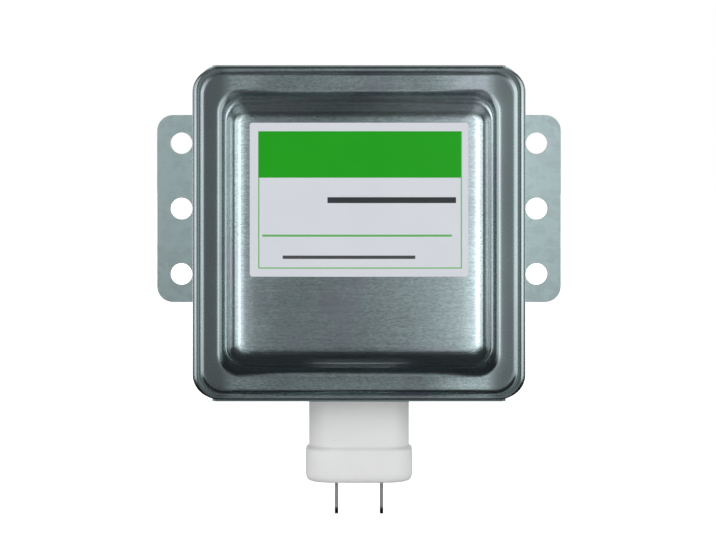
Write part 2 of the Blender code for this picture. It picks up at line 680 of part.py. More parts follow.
def make_filter_box(tube):
    """A drawn tray. Its top and bottom lips stand outside the cover's rim, its sides inside the skirt."""
    past = 0.002
    reach = BOX_LIP_DEPTH - BOX_BACK
    skin = lofted("filter_box", tray_rings(0, reach))
    box = add_object("filter_box", skin, tube, "galvanised_sheet")
    hollow = lofted("box_hollow", tray_rings(BOX_THICK, reach + past))
    boolean(box, add_object("box_hollow", hollow, tube))
    bm = bmesh.new()
    for side in (-1, 1):
        for row in (-1, 1):
            notch = rectangle(
                BOX_HALF[0] - BOX_LIP_HALF_X,
                BOX_HALF[1] - BOX_SIDE_HALF_UP,
                0,
                (side * BOX_HALF[0], BOX_CENTRE_UP + row * BOX_HALF[1]),
            )
            add_prism(bm, notch, BOX_NOTCH_DEPTH, BOX_LIP_DEPTH + past)
    boolean(box, add_object("corner_notches", mesh_from("corner_notches", bm), tube))
    bm = bmesh.new()
    for side in (-1, 1):
        edge = rectangle(past, BOX_HALF[1] - past, 0, (side * BOX_HALF[0], BOX_CENTRE_UP))
        add_prism(bm, edge, BOX_SIDE_DEPTH, BOX_LIP_DEPTH + past)
    add_prism(bm, circle(BOX_BORE), BOX_BACK - past, BOX_BACK + past)
    opening = rectangle(*BOX_PLUG_OPENING, BOX_PLUG_ROUND, (0, PLUG_DEPTH))
    add_prism(bm, opening, BOX_BOTTOM_UP - past, BOX_BOTTOM_UP + past, "second")
    for side in (-1, 1):
        hole = circle(RIVET_SHANK + GAP, (side * RIVET_X, PLUG_DEPTH), COARSE)
        add_prism(bm, hole, BOX_BOTTOM_UP - past, BOX_BOTTOM_UP + past, "second")
    boolean(box, add_object("box_openings", mesh_from("box_openings", bm), tube))


def cover_profile():
    """(inset from the outline, rise above the rim, corner radius, drop of the centre)."""
    edge = [(0, -COVER_SKIRT, 0.0058, 0), (0, -0.0007, 0.0058, 0), (0.0003, -0.0002, 0.0057, 0)]
    rim = [(0.0009, 0, 0.0055, 0), (0.0014, 0, 0.0052, 0), (0.0018, 0.0003, 0.0051, 0)]
    shoulder = [(0.0021, 0.0011, 0.0052, 0), (0.0024, 0.0020, 0.0054, 0), (0.0032, 0.0027, 0.0056, 0)]
    flange = [(0.0060, 0.0028, 0.0055, 0), (0.0067, 0.0032, 0.0053, 0)]
    drop = COVER_PANEL_DROP
    wall = [(0.0074, 0.0042, 0.0050, drop / 2), (0.0091, 0.0070, 0.0043, drop)]
    fillet = [(0.0100, 0.0082, 0.0039, drop), (0.0113, 0.0090, 0.0032, drop)]
    panel = [(0.0133, COVER_PANEL_RISE, 0.0026, drop)]
    return edge + rim + shoulder + flange + wall + fillet + panel


def make_filter_cover(tube):
    """A lid drawn from one sheet: skirt, rolled rim, flange and raised panel."""
    rings = []
    for inset, rise, radius, drop in cover_profile():
        half_x, half_up = COVER_HALF[0] - inset, COVER_HALF[1] - inset
        ring = rectangle(half_x, half_up, radius, (0, BOX_CENTRE_UP - drop), 4)
        rings.append([(x, up, COVER_RIM_DEPTH + rise) for x, up in ring])
    cover = add_object("filter_cover", lofted("filter_cover", rings, close="front"), tube, "drawn_steel")
    sheet = cover.modifiers.new("sheet", "SOLIDIFY")
    sheet.thickness = COVER_THICK
    sheet.offset = -1
    sheet.use_even_offset = True


def make_cover_label(tube):
    back = COVER_PANEL_DEPTH + LABEL_GAP
    outline = rectangle(*LABEL_HALF, LABEL_CORNER, (0, LABEL_CENTRE_UP), 3)
    mesh = prism("cover_label", outline, back, back + LABEL_THICK)
    add_object("cover_label", mesh, tube, "label_film")


def make_capacitor_case(plug):
    """The moulded plug body: a neck below the box and a thicker collar at its end."""
    grow = (COLLAR_HALF[0] - CASE_HALF[0], COLLAR_HALF[1] - CASE_HALF[1])
    outer = [
        (GAP, 0, 0),
        (CASE_NECK_END, 0, 0),
        (CASE_NECK_END + 0.0004, 0.7, 0),
        (CASE_NECK_END + 0.0010, 1, 0),
        (CASE_END - 0.0014, 1, 0),
        (CASE_END - 0.0005, 1, 0.0004),
        (CASE_END, 1, 0.0011),
    ]
    rings = []
    for out, share, inset in outer:
        half_x = CASE_HALF[0] + share * grow[0] - inset
        half_depth = CASE_HALF[1] + share * grow[1] - inset
        ring = rectangle(half_x, half_depth, CASE_ROUND - inset)
        rings.append([(x, depth, out) for x, depth in ring])
    for out in (CASE_END, GAP):
        ring = rectangle(*CASE_BORE_HALF, CASE_BORE_ROUND)
        rings.append([(x, depth, out) for x, depth in ring])
    add_object("capacitor_case", lofted("capacitor_case", rings, close="loop"), plug, "white_plastic")


def bored_block(name, outline, low, high, bore, plug, finish):
    """A prism with the two passages of the terminals."""
    block = add_object(name, prism(name, outline, low, high), plug, finish)
    bm = bmesh.new()
    for side in (-1, 1):
        add_prism(bm, circle(bore, (side * TAB_X, 0), COARSE), low - 0.001, high + 0.001)
    tool = name + "_bores"
    return boolean(block, add_object(tool, mesh_from(tool, bm), plug))


def make_capacitor_inside(plug):
    bore = TAB_ROD + GAP
    half = [value - GAP for value in CASE_BORE_HALF]
    outline = rectangle(*half, CASE_BORE_ROUND - GAP)
    bored_block("capacitor_potting", outline, POTTING_START, POTTING_END, bore, plug, "potting")
    seat = -BOX_THICK - FLANGE_THICK - 2 * GAP
    outline = rectangle(*CERAMIC_HALF, CERAMIC_ROUND)
    bored_block("capacitor_ceramic", outline, CERAMIC_END, seat - GAP, bore, plug, "titanate")
    outline = rectangle(*INNER_CASE_HALF, INNER_CASE_ROUND)
    shell = bored_block(
        "capacitor_inner_case", outline, INNER_CASE_END, seat - GAP, bore, plug, "white_plastic"
    )
    half = [value - INNER_CASE_WALL for value in INNER_CASE_HALF]
    inside = rectangle(*half, INNER_CASE_ROUND - INNER_CASE_WALL)
    pocket = prism("inner_pocket", inside, INNER_CASE_END + INNER_CASE_WALL, seat + 0.001)
    boolean(shell, add_object("inner_pocket", pocket, plug))


def make_capacitor_flange(plug):
    """The earthed plate that carries the capacitor inside the bottom wall, and its two rivets."""
    near = -BOX_THICK - GAP
    plate = prism("capacitor_flange", rectangle(*FLANGE_HALF, FLANGE_CORNER), near - FLANGE_THICK, near)
    flange = add_object("capacitor_flange", plate, plug, "tinned_brass")
    bm = bmesh.new()
    past = 0.001
    add_prism(bm, rectangle(*FLANGE_OPENING, BOX_PLUG_ROUND), near - FLANGE_THICK - past, near + past)
    for side in (-1, 1):
        hole = circle(RIVET_SHANK + GAP, (side * RIVET_X, 0), COARSE)
        add_prism(bm, hole, near - FLANGE_THICK - past, near + past)
    boolean(flange, add_object("flange_openings", mesh_from("flange_openings", bm), plug))
    inside = near - FLANGE_THICK - GAP
    profile = [
        (inside - RIVET_HEAD_THICK, 0),
        (inside - RIVET_HEAD_THICK, RIVET_HEAD - RIVET_CROWN),
        (inside, RIVET_HEAD),
        (inside, RIVET_SHANK),
        (GAP, RIVET_SHANK),
        (GAP, RIVET_HEAD),
        (GAP + RIVET_HEAD_THICK, RIVET_HEAD - RIVET_CROWN),
        (GAP + RIVET_HEAD_THICK, 0),
    ]
    for name, side in (("capacitor_rivet_left", -1), ("capacitor_rivet_right", 1)):
        add_object(name, turned(name, profile, COARSE, (side * RIVET_X, 0)), plug, "nickel_steel")


def make_terminals(plug):
    """Each terminal is a flat tab outside and a round pin through the capacitor."""
    root = POTTING_END + GAP
    half = TAB_WIDE / 2
    outline = [
        (-half, root),
        (half, root),
        (half, TAB_TIP - TAB_TAPER_LENGTH),
        (half - TAB_TAPER, TAB_TIP),
        (-half + TAB_TAPER, TAB_TIP),
        (-half, TAB_TIP - TAB_TAPER_LENGTH),
    ]
    for name, side in (("terminal_tab_left", -1), ("terminal_tab_right", 1)):
        x = side * TAB_X
        low, high = x - TAB_THICK / 2, x + TAB_THICK / 2
        tab = add_object(name, prism(name, outline, low, high, "first"), plug, "tinned_brass")
        pin = prism(name + "_pin", circle(TAB_ROD, (x, 0), COARSE), TAB_INNER_END, root + TAB_ROD)
        boolean(tab, add_object(name + "_pin", pin, plug), "UNION")
        ring = circle(TAB_HOLE, (0, TAB_TIP - TAB_HOLE_PLACE), COARSE)
        hole = prism(name + "_hole", ring, low - TAB_THICK, high + TAB_THICK, "first")
        boolean(tab, add_object(name + "_hole", hole, plug))


def make_chokes(tube):
    """Two coils on ferrite rods, from the capacitor's pins to the stem's terminals."""
    steps = round(CHOKE_TURNS * COIL_POINTS)
    pin_up = BOX_BOTTOM_UP - TAB_INNER_END + GAP + CHOKE_WIRE
    for name, side in (("left", -1), ("right", 1)):
        coil = []
        for i in range(steps + 1):
            turn = 2 * math.pi * CHOKE_TURNS * i / steps
            x = CHOKE_X + CHOKE_RADIUS * math.cos(turn)
            depth = CHOKE_DEPTH + CHOKE_RADIUS * math.sin(turn)
            coil.append(Vector((x, CHOKE_START_UP + CHOKE_PITCH * turn / (2 * math.pi), depth)))
        foot = Vector((TAB_X - WELD_OVERLAP, pin_up, PLUG_DEPTH))
        start, pull = (foot + Vector((x, 0, 0)) for x in CHOKE_BEND_X)
        near = coil[0] - Vector((0, *CHOKE_BEND_COIL))
        lead = [foot] + bezier(start, pull, near, coil[0], 7)
        tail = [Vector((STEM_PIN_X - WELD_OVERLAP, coil[-1].y, coil[-1].z))]
        points = [Vector((side * p.x, p.y, p.z)) for p in lead + coil + tail]
        wire(f"choke_coil_{name}", points, CHOKE_WIRE, tube, "copper")
        rod = prism(
            f"ferrite_core_{name}",
            circle(FERRITE_RADIUS, (side * CHOKE_X, CHOKE_DEPTH), COARSE),
            FERRITE_LOW,
            FERRITE_HIGH,
            "second",
        )
        add_object(f"ferrite_core_{name}", rod, tube, "ferrite")


def main():
    clear_scene()
    tube = make_frame("tube_frame", (0, 0, 0), math.pi / 2)
    plug = make_frame("plug_frame", (0, -PLUG_DEPTH, BOX_BOTTOM_UP), math.pi)
    make_mounting_plate(tube)
    make_yoke(tube)
    make_magnets(tube)
    make_cooling_fins(tube)
    make_anode(tube)
    make_vanes(tube)
    make_straps(tube)
    make_pole_pieces(tube)
    make_sleeves(tube)
    make_output_window(tube)
    make_antenna_lead(tube)
    make_cathode(tube)
    make_stem(tube)
    make_gasket(tube)
    make_filter_box(tube)
    make_filter_cover(tube)
    make_cover_label(tube)
    make_capacitor_case(plug)
    make_capacitor_inside(plug)
    make_capacitor_flange(plug)
    make_terminals(plug)
    make_chokes(tube)


main()
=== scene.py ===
"""Looks of the cooker magnetron: finish of every surface, fine forms, light and camera.

Pieces are modelled in the tube frame, whose axes are x, up and depth, like the solids.
Depth runs from the mounting plate's waveguide face towards the filter cover.
"""

import json
import math

import bmesh
import bpy
from mathutils import Matrix, Vector


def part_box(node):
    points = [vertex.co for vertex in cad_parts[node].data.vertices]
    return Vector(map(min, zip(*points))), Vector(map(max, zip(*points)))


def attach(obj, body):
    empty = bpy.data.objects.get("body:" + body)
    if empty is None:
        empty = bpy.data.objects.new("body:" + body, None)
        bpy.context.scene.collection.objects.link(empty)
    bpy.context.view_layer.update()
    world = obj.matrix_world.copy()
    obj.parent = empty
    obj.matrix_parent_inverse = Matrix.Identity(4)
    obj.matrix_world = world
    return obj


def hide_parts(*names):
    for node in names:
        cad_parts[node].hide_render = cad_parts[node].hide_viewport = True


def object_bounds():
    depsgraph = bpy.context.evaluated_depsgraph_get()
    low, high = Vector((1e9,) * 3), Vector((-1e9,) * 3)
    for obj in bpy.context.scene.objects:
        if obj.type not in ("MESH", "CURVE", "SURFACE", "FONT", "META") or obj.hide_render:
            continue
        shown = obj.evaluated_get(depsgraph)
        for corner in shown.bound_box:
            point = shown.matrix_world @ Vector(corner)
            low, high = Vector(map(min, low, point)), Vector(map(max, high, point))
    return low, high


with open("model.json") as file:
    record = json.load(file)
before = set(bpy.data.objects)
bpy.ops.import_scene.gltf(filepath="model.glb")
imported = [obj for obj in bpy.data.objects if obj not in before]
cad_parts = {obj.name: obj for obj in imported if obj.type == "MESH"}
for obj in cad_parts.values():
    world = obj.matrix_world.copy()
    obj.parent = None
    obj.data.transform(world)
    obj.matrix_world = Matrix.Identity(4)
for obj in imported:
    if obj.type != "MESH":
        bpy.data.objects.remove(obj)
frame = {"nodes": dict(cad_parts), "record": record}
cad_box = [list(corner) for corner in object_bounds()]

# Tube frame (x, up, depth) to world (x, -depth, up), and plug frame (x, depth, out) to world
TUBE = Matrix.Rotation(math.pi / 2, 4, "X")
PLUG_DEPTH, BOX_BOTTOM_UP = 0.0660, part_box("capacitor_case")[1].z + 0.0003
PLUG = Matrix.Translation((0, -PLUG_DEPTH, BOX_BOTTOM_UP)) @ Matrix.Rotation(math.pi, 4, "X")

# Photograph: its size, the focal length and the point opposite the lens, all in pixels
PHOTO_WIDE, PHOTO_HIGH = 716, 540
FOCAL_PIXELS = 2836
AXIS_PIXEL = (359, 157)
SENSOR_MM = 36
CAMERA_PLACE = (0, -0.760, 0.0138)

# Sheet sizes shared by several pieces
BOX_CENTRE_UP = -0.0045
COVER_HALF = (0.0400, 0.0396)
COVER_RIM_DEPTH, COVER_SKIRT, COVER_THICK = 0.0800, 0.0040, 0.0006
BOX_HALF, BOX_CORNER, BOX_THICK = (0.0390, 0.0403), 0.0050, 0.0005
BOX_BACK, BOX_NOTCH_DEPTH, BOX_SIDE_DEPTH, BOX_LIP_DEPTH = 0.0539, 0.0753, 0.0793, 0.0807
BOX_LIP_HALF_X, BOX_LIP_CHAMFER, BOX_SIDE_HALF_UP = 0.0352, 0.0010, 0.0335
LABEL_THICK = 0.0001
FLOOR_BELOW_TABS = 0.0004

# The panel's curvature per metre, how much lower the flange is at its sides than at the middle
# of its top and bottom, and an inset that lies on the panel all round
PANEL_BOW, FLANGE_SAG, PANEL_INSET = 2.1, 0.0008, 0.0200

# In degrees: edges sharper than this are rounded, and shaded sharp
SHARP_ANGLE = 38

# Strength of the even white world that lights matt surfaces
DAYLIGHT = 0.85

# The studio that metal reflects, where 1 is white: its middle, what each side adds and loses
# again at its far edge, the share left overhead, and behind the part a lighter band with the
# share left past it
STUDIO_COLOUR = (0.96, 0.99, 1.0)
STUDIO_MIDDLE, STUDIO_LEFT, STUDIO_RIGHT, SIDE_LOSS = 0.25, 1.30, 1.25, 0.9
CEILING_SHARE, BAND_BEHIND, DIM_BEHIND = 0.17, 2.3, 0.1

# The floor's glow in pictures and reflections, and a painted dark reflection that metal sees in the floor
FLOOR_LIFT = 0.90
DARK_REFLECTION_TONE, DARK_REFLECTION_FRONT, DARK_REFLECTION_BACK, DARK_REFLECTION_FADE = 0.025, -0.22, 0.30, 0.030

# Both softboxes: width and height, and the point that they face
SOFTBOX_SIZE, SOFTBOX_TARGET = (0.56, 0.58), (0, -0.085, 0)


# Nodes and materials

RANGE_SOCKETS = ("From Min", "From Max", "To Min", "To Max")
# Painted shade for a sheet's foremost cut edge: the zinc's own hue, darker
CUT_EDGE_SHADE = (0.25, 0.30, 0.31)


class Shader:
    """A material under construction, with short ways to add its nodes."""

    def __init__(self, name):
        self.material = bpy.data.materials.new(name)
        self.material.use_nodes = True
        self.tree = self.material.node_tree
        self.surface = self.tree.nodes["Principled BSDF"]
        coordinates = self.tree.nodes.new("ShaderNodeTexCoord")
        self.place = coordinates.outputs["Object"]

    def plain(self, **values):
        names = {
            "metallic": "Metallic",
            "roughness": "Roughness",
            "specular": "Specular IOR Level",
            "anisotropic": "Anisotropic",
            "anisotropic_turn": "Anisotropic Rotation",
        }
        for key, value in values.items():
            self.surface.inputs[names[key]].default_value = value

    def node(self, kind, **settings):
        node = self.tree.nodes.new(kind)
        for key, value in settings.items():
            setattr(node, key, value)
        return node

    def link(self, output, target):
        self.tree.links.new(output, target)

    def axes(self):
        """Object coordinates split into X, Y and Z."""
        split = self.node("ShaderNodeSeparateXYZ")
        self.link(self.place, split.inputs["Vector"])
        return split.outputs

    def stretched(self, per_mm):
        """Object coordinates scaled to so many cells per millimetre along x, y and z."""
        mapping = self.node("ShaderNodeMapping")
        mapping.inputs["Scale"].default_value = [1000 * value for value in per_mm]
        self.link(self.place, mapping.inputs["Vector"])
        return mapping.outputs["Vector"]

    def noise(self, per_mm, detail=4, roughness=0.55):
        noise = self.node("ShaderNodeTexNoise")
        noise.inputs["Scale"].default_value = 1
        noise.inputs["Detail"].default_value = detail
        noise.inputs["Roughness"].default_value = roughness
        self.link(self.stretched(per_mm), noise.inputs["Vector"])
        return noise.outputs["Fac"]

    def cells(self, per_mm):
        cells = self.node("ShaderNodeTexVoronoi")
        cells.inputs["Scale"].default_value = 1
        self.link(self.stretched(per_mm), cells.inputs["Vector"])
        grey = self.node("ShaderNodeSeparateColor")
        self.link(cells.outputs["Color"], grey.inputs["Color"])
        return grey.outputs["Red"]

    def math(self, operation, first, second=0.5, third=0.5):
        node = self.node("ShaderNodeMath", operation=operation)
        for socket, value in zip(node.inputs, (first, second, third)):
            if isinstance(value, (int, float)):
                socket.default_value = value
            else:
                self.link(value, socket)
        return node.outputs["Value"]

    def between(self, factor, low, high, low_in=0.0, high_in=1.0):
        node = self.node("ShaderNodeMapRange")
        for key, value in zip(RANGE_SOCKETS, (low_in, high_in, low, high)):
            node.inputs[key].default_value = value
        self.link(factor, node.inputs["Value"])
        return node.outputs["Result"]

    def mixed(self, factor, first, second):
        """Colours blended by a factor. A colour is a tuple or another node's output."""
        node = self.node("ShaderNodeMix", data_type="RGBA")
        self.link(factor, node.inputs["Factor"])
        for key, value in (("A", first), ("B", second)):
            socket = [s for s in node.inputs if s.name == key and s.type == "RGBA"][0]
            if isinstance(value, tuple):
                socket.default_value = (*value, 1)
            else:
                self.link(value, socket)
        return [s for s in node.outputs if s.type == "RGBA"][0]

    def blended(self, factor, first, second):
        """Two shaders blended by a factor, where 1 gives the second alone."""
        node = self.node("ShaderNodeMixShader")
        for socket, output in zip(node.inputs, (factor, first, second)):
            self.link(output, socket)
        return node.outputs["Shader"]

    def colour(self, output):
        self.link(output, self.surface.inputs["Base Color"])

    def rough(self, output):
        self.link(output, self.surface.inputs["Roughness"])

    def bump(self, height, distance_mm, strength=1.0):
        bump = self.node("ShaderNodeBump")
        bump.inputs["Distance"].default_value = distance_mm / 1000
        bump.inputs["Strength"].default_value = strength
        self.link(height, bump.inputs["Height"])
        self.link(bump.outputs["Normal"], self.surface.inputs["Normal"])


def metal_material(name, dark, light, rough, grain, grain_bump=0.0012, spangle=0.0, cut_at=None):
    """Metal whose tone and gloss drift slowly, with a grain stretched along one axis.

    Where cut_at gives the depth of a sheet's foremost edge, painted shade darkens that cut edge.
    """
    shader = Shader(name)
    shader.plain(metallic=1.0)
    cloud = shader.noise((0.05, 0.05, 0.05), 3)
    lines = shader.noise(grain, 5, 0.65)
    fine = shader.noise((2.5, 2.5, 2.5), 2)
    tone = shader.math("MULTIPLY_ADD", lines, 0.5, shader.math("MULTIPLY", cloud, 0.5))
    if spangle:
        tone = shader.math("MULTIPLY_ADD", shader.cells((0.55, 0.55, 0.55)), spangle, tone)
    colour = shader.mixed(shader.between(tone, 0, 1, 0.3, 0.7), dark, light)
    if cut_at is not None:
        # Painted shade on the foremost cut edge
        cut = shader.between(shader.axes()["Y"], 1, 0, -cut_at + 0.0001, -cut_at + 0.0004)
        colour = shader.mixed(cut, colour, CUT_EDGE_SHADE)
    shader.colour(colour)
    wander = shader.math("MULTIPLY_ADD", cloud, 0.10, shader.math("MULTIPLY", lines, 0.12))
    wander = shader.math("MULTIPLY_ADD", fine, 0.04, wander)
    shader.rough(shader.math("ADD", wander, rough - 0.13))
    shader.bump(lines, grain_bump)
    return shader.material


def cover_material():
    """Drawn steel: brushed and satin on the panel; on the two side flanges painted shade darkens it, with
    fainter grain and a little more roughness.
    """
    shader = Shader("drawn_steel")
    shader.plain(metallic=1.0, anisotropic=0.8, anisotropic_turn=0.25)
    sideways = shader.math("ABSOLUTE", shader.axes()["X"])
    # The two side flanges, where painted shade darkens the steel's colour below
    painted_shade_flanges = shader.between(sideways, 0, 1, COVER_HALF[0] - 0.0095, COVER_HALF[0] - 0.0070)
    strokes = shader.noise((1.0, 2.6, 3.0), 5, 0.75)
    long_strokes = shader.noise((0.06, 1.4, 1.6), 3, 0.6)
    cloud = shader.noise((0.045, 0.045, 0.045), 3)
    grain = shader.math("MULTIPLY_ADD", long_strokes, 0.22, shader.math("MULTIPLY", strokes, 0.78))
    contrast = shader.between(painted_shade_flanges, 1, 0.12)
    smooth_side = shader.between(sideways, 1, 0.08, COVER_HALF[0] - 0.0165, COVER_HALF[0] - 0.0125)
    tone = shader.math("MULTIPLY", shader.math("SUBTRACT", grain, 0.5), contrast)
    tone = shader.math("MULTIPLY_ADD", tone, 3.2, cloud)
    base = shader.mixed(shader.between(tone, 0, 1, 0.0, 1.0), (0.36, 0.44, 0.45), (0.72, 0.86, 0.87))
    tint = shader.between(shader.noise((0.06, 0.06, 0.06), 2), 0, 0.5, 0.50, 0.66)
    base = shader.mixed(tint, base, (0.50, 0.51, 0.60))
    # Painted shade: the side flanges are mixed towards a dark steel colour
    shader.colour(shader.mixed(shader.between(painted_shade_flanges, 0, 0.62), base, (0.20, 0.24, 0.245)))
    satin = shader.math("MULTIPLY_ADD", grain, 0.08, 0.21)
    shader.rough(shader.math("MULTIPLY_ADD", painted_shade_flanges, 0.02, satin))
    shader.bump(shader.math("MULTIPLY", grain, smooth_side), 0.0010)
    return shader.material


def ferrite_material():
    shader = Shader("ferrite")
    grit = shader.noise((3, 3, 3), 6, 0.7)
    cloud = shader.noise((0.12, 0.12, 0.12), 3)
    chips = shader.between(shader.noise((0.8, 0.8, 0.8), 2), 0, 1, 0.66, 0.70)
    base = shader.mixed(shader.between(cloud, 0, 1, 0.35, 0.65), (0.045, 0.045, 0.048), (0.075, 0.075, 0.078))
    shader.colour(shader.mixed(shader.math("MULTIPLY", chips, 0.5), base, (0.13, 0.13, 0.135)))
    shader.rough(shader.between(grit, 0.55, 0.85))
    shader.bump(grit, 0.02, 0.6)
    return shader.material


def ceramic_material(name, first, second):
    shader = Shader(name)
    grain = shader.noise((4, 4, 4), 4, 0.6)
    cloud = shader.noise((0.2, 0.2, 0.2), 2)
    shader.colour(shader.mixed(cloud, first, second))
    shader.rough(shader.between(grain, 0.32, 0.55))
    shader.bump(grain, 0.006, 0.5)
    return shader.material


def plastic_material(name, first, second, rough=0.42):
    shader = Shader(name)
    shader.plain(specular=0.45)
    grain = shader.noise((6, 6, 6), 3, 0.6)
    cloud = shader.noise((0.10, 0.10, 0.10), 3)
    shader.colour(shader.mixed(shader.between(cloud, 0, 1, 0.3, 0.7), first, second))
    shader.rough(shader.between(grain, rough - 0.07, rough + 0.08))
    shader.bump(grain, 0.008, 0.5)
    return shader.material


def tab_material():
    """Tinned blade, bright along its length and darker at the tapered tip."""
    shader = Shader("tinned_tab")
    shader.plain(metallic=1.0)
    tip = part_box("terminal_tab_left")[0].z
    near_tip = shader.between(shader.axes()["Z"], 1, 0, tip + 0.0009, tip + 0.0019)
    lines = shader.noise((0.4, 5, 0.4), 4)
    base = shader.mixed(lines, (0.62, 0.61, 0.60), (0.84, 0.83, 0.81))
    shader.colour(shader.mixed(near_tip, base, (0.10, 0.09, 0.085)))
    shader.rough(shader.between(lines, 0.48, 0.62))
    shader.bump(lines, 0.002)
    return shader.material


def inside(shader, x, z, left, right, low, high):
    """1 within a rectangle of the label, 0 outside it."""
    parts = [
        shader.math("GREATER_THAN", x, left),
        shader.math("LESS_THAN", x, right),
        shader.math("GREATER_THAN", z, low),
        shader.math("LESS_THAN", z, high),
    ]
    product = parts[0]
    for part in parts[1:]:
        product = shader.math("MULTIPLY", product, part)
    return product


def label_material():
    """Film with a green block, a thin green frame and plain bars."""
    shader = Shader("label_print")
    shader.plain(specular=0.25)
    axes = shader.axes()
    x, z = axes["X"], axes["Z"]
    low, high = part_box("cover_label")
    edge = 0.0020
    line = 0.00028
    left, right, bottom, top = low.x + edge, high.x - edge * 0.75, low.z + edge * 0.95, high.z - edge
    block_low = top - 0.0110
    cloud = shader.noise((0.08, 0.08, 0.08), 2)
    paper = shader.mixed(cloud, (0.60, 0.62, 0.675), (0.64, 0.66, 0.70))
    fibre = shader.noise((3, 3, 3), 3)
    colour = shader.mixed(shader.between(fibre, 0, 0.12), paper, (0.53, 0.61, 0.56))
    green = shader.mixed(cloud, (0.003, 0.300, 0.001), (0.006, 0.330, 0.002))
    frame_area = inside(shader, x, z, left, right, bottom, top)
    frame_hole = inside(shader, x, z, left + line, right - line, bottom + line, top)
    frame_line = shader.math("SUBTRACT", frame_area, frame_hole)
    colour = shader.mixed(frame_line, colour, (0.12, 0.42, 0.10))
    block = inside(shader, x, z, left, right - 0.0002, block_low, top)
    colour = shader.mixed(block, colour, green)
    # Start and end as shares of the frame's width, distance below the block, height and colour
    bars = (
        (0.34, 1.00, 0.0053, 0.0014, (0.030, 0.032, 0.036)),
        (0.02, 0.98, 0.0137, 0.0005, (0.11, 0.40, 0.10)),
        (0.12, 0.80, 0.0188, 0.0008, (0.060, 0.062, 0.066)),
    )
    width = right - left
    for start, end, below, high_part, tone in bars:
        middle = block_low - below
        band = inside(
            shader,
            x,
            z,
            left + start * width,
            left + end * width - 0.0014,
            middle - high_part / 2,
            middle + high_part / 2,
        )
        colour = shader.mixed(band, colour, tone)
    shader.colour(colour)
    shader.rough(shader.between(fibre, 0.34, 0.48))
    shader.bump(fibre, 0.002, 0.4)
    return shader.material


# Dark and light colour, roughness, and grain in cells per millimetre along x, y and z
METALS = {
    "fin_aluminium": ((0.72, 0.73, 0.74), (0.84, 0.85, 0.86), 0.30, (0.08, 2.0, 1.2)),
    "copper": ((0.66, 0.30, 0.17), (0.84, 0.45, 0.30), 0.30, (0.6, 0.6, 0.6)),
    "choke_wire": ((0.42, 0.15, 0.06), (0.58, 0.24, 0.11), 0.26, (0.5, 0.5, 0.5)),
    "pole_iron": ((0.50, 0.50, 0.48), (0.60, 0.60, 0.58), 0.36, (0.4, 0.4, 2)),
    "tube_steel": ((0.55, 0.54, 0.51), (0.67, 0.66, 0.63), 0.24, (1.2, 0.1, 1.2)),
    "gasket_wire": ((0.50, 0.49, 0.45), (0.68, 0.67, 0.62), 0.32, (0.8, 0.8, 0.8)),
    "tungsten": ((0.20, 0.19, 0.18), (0.32, 0.31, 0.30), 0.42, (0.9, 0.9, 0.9)),
    "tinned_brass": ((0.52, 0.51, 0.48), (0.66, 0.65, 0.62), 0.30, (0.3, 0.3, 0.3)),
}
ZINC = ((0.53, 0.63, 0.635), (0.655, 0.775, 0.78), 0.46, (0.3, 1.6, 1.6))


def make_materials():
    materials = {name: metal_material(name, *finish) for name, finish in METALS.items()}
    zinc = metal_material("galvanised_sheet", *ZINC, spangle=0.25, cut_at=BOX_LIP_DEPTH)
    materials["galvanised_sheet"] = zinc
    materials["drawn_steel"] = cover_material()
    materials["ferrite"] = ferrite_material()
    materials["alumina"] = ceramic_material("alumina", (0.78, 0.71, 0.68), (0.84, 0.78, 0.74))
    materials["titanate"] = ceramic_material("titanate", (0.52, 0.40, 0.28), (0.62, 0.50, 0.37))
    white = plastic_material("white_plastic", (0.77, 0.775, 0.77), (0.81, 0.815, 0.81))
    materials["white_plastic"] = white
    resin = plastic_material("potting_resin", (0.40, 0.39, 0.35), (0.50, 0.48, 0.43), 0.30)
    materials["potting_resin"] = resin
    materials["tinned_tab"] = tab_material()
    materials["label_film"] = label_material()
    return materials


# Mesh tools


def filleted(corners, closed=True, steps=8):
    """The points of a path through corners (u, v, radius), each rounded by an arc."""
    points = []
    count = len(corners)
    for i, (u, v, radius) in enumerate(corners):
        here = Vector((u, v))
        if radius == 0 or (not closed and i in (0, count - 1)):
            points.append(here)
            continue
        before = (Vector(corners[i - 1][:2]) - here).normalized()
        after = (Vector(corners[(i + 1) % count][:2]) - here).normalized()
        half_angle = before.angle(after) / 2
        centre = here + (before + after).normalized() * radius / math.sin(half_angle)
        start = here + before * radius / math.tan(half_angle) - centre
        end = here + after * radius / math.tan(half_angle) - centre
        sweep = -start.angle_signed(end)
        for step in range(steps + 1):
            turn = sweep * step / steps
            cosine, sine = math.cos(turn), math.sin(turn)
            u_turned = start.x * cosine - start.y * sine
            v_turned = start.x * sine + start.y * cosine
            points.append(centre + Vector((u_turned, v_turned)))
    return points


def rectangle(half_u, half_v, radius, centre=(0, 0), steps=8):
    signs = ((-1, -1), (1, -1), (1, 1), (-1, 1))
    corners = [(centre[0] + su * half_u, centre[1] + sv * half_v, radius) for su, sv in signs]
    return filleted(corners, steps=steps)


def circle(radius, centre=(0, 0), segments=48):
    turns = [2 * math.pi * i / segments for i in range(segments)]
    return [Vector((centre[0] + radius * math.cos(t), centre[1] + radius * math.sin(t))) for t in turns]


def sheet_section(path, thick):
    """The closed outline of a bent sheet whose middle line is the path."""
    sides = ([], [])
    for i, point in enumerate(path):
        into = (point - path[i - 1]).normalized() if i else None
        onward = (path[i + 1] - point).normalized() if i + 1 < len(path) else into
        into = into or onward
        along = (into + onward).normalized()
        across = Vector((-along.y, along.x)) * (thick / 2) / along.dot(onward)
        sides[0].append(point + across)
        sides[1].append(point - across)
    return sides[0] + sides[1][::-1]


PRISM_AXES = {
    "third": lambda u, v, along: (u, v, along),
    "second": lambda u, v, along: (u, along, v),
    "first": lambda u, v, along: (along, u, v),
}


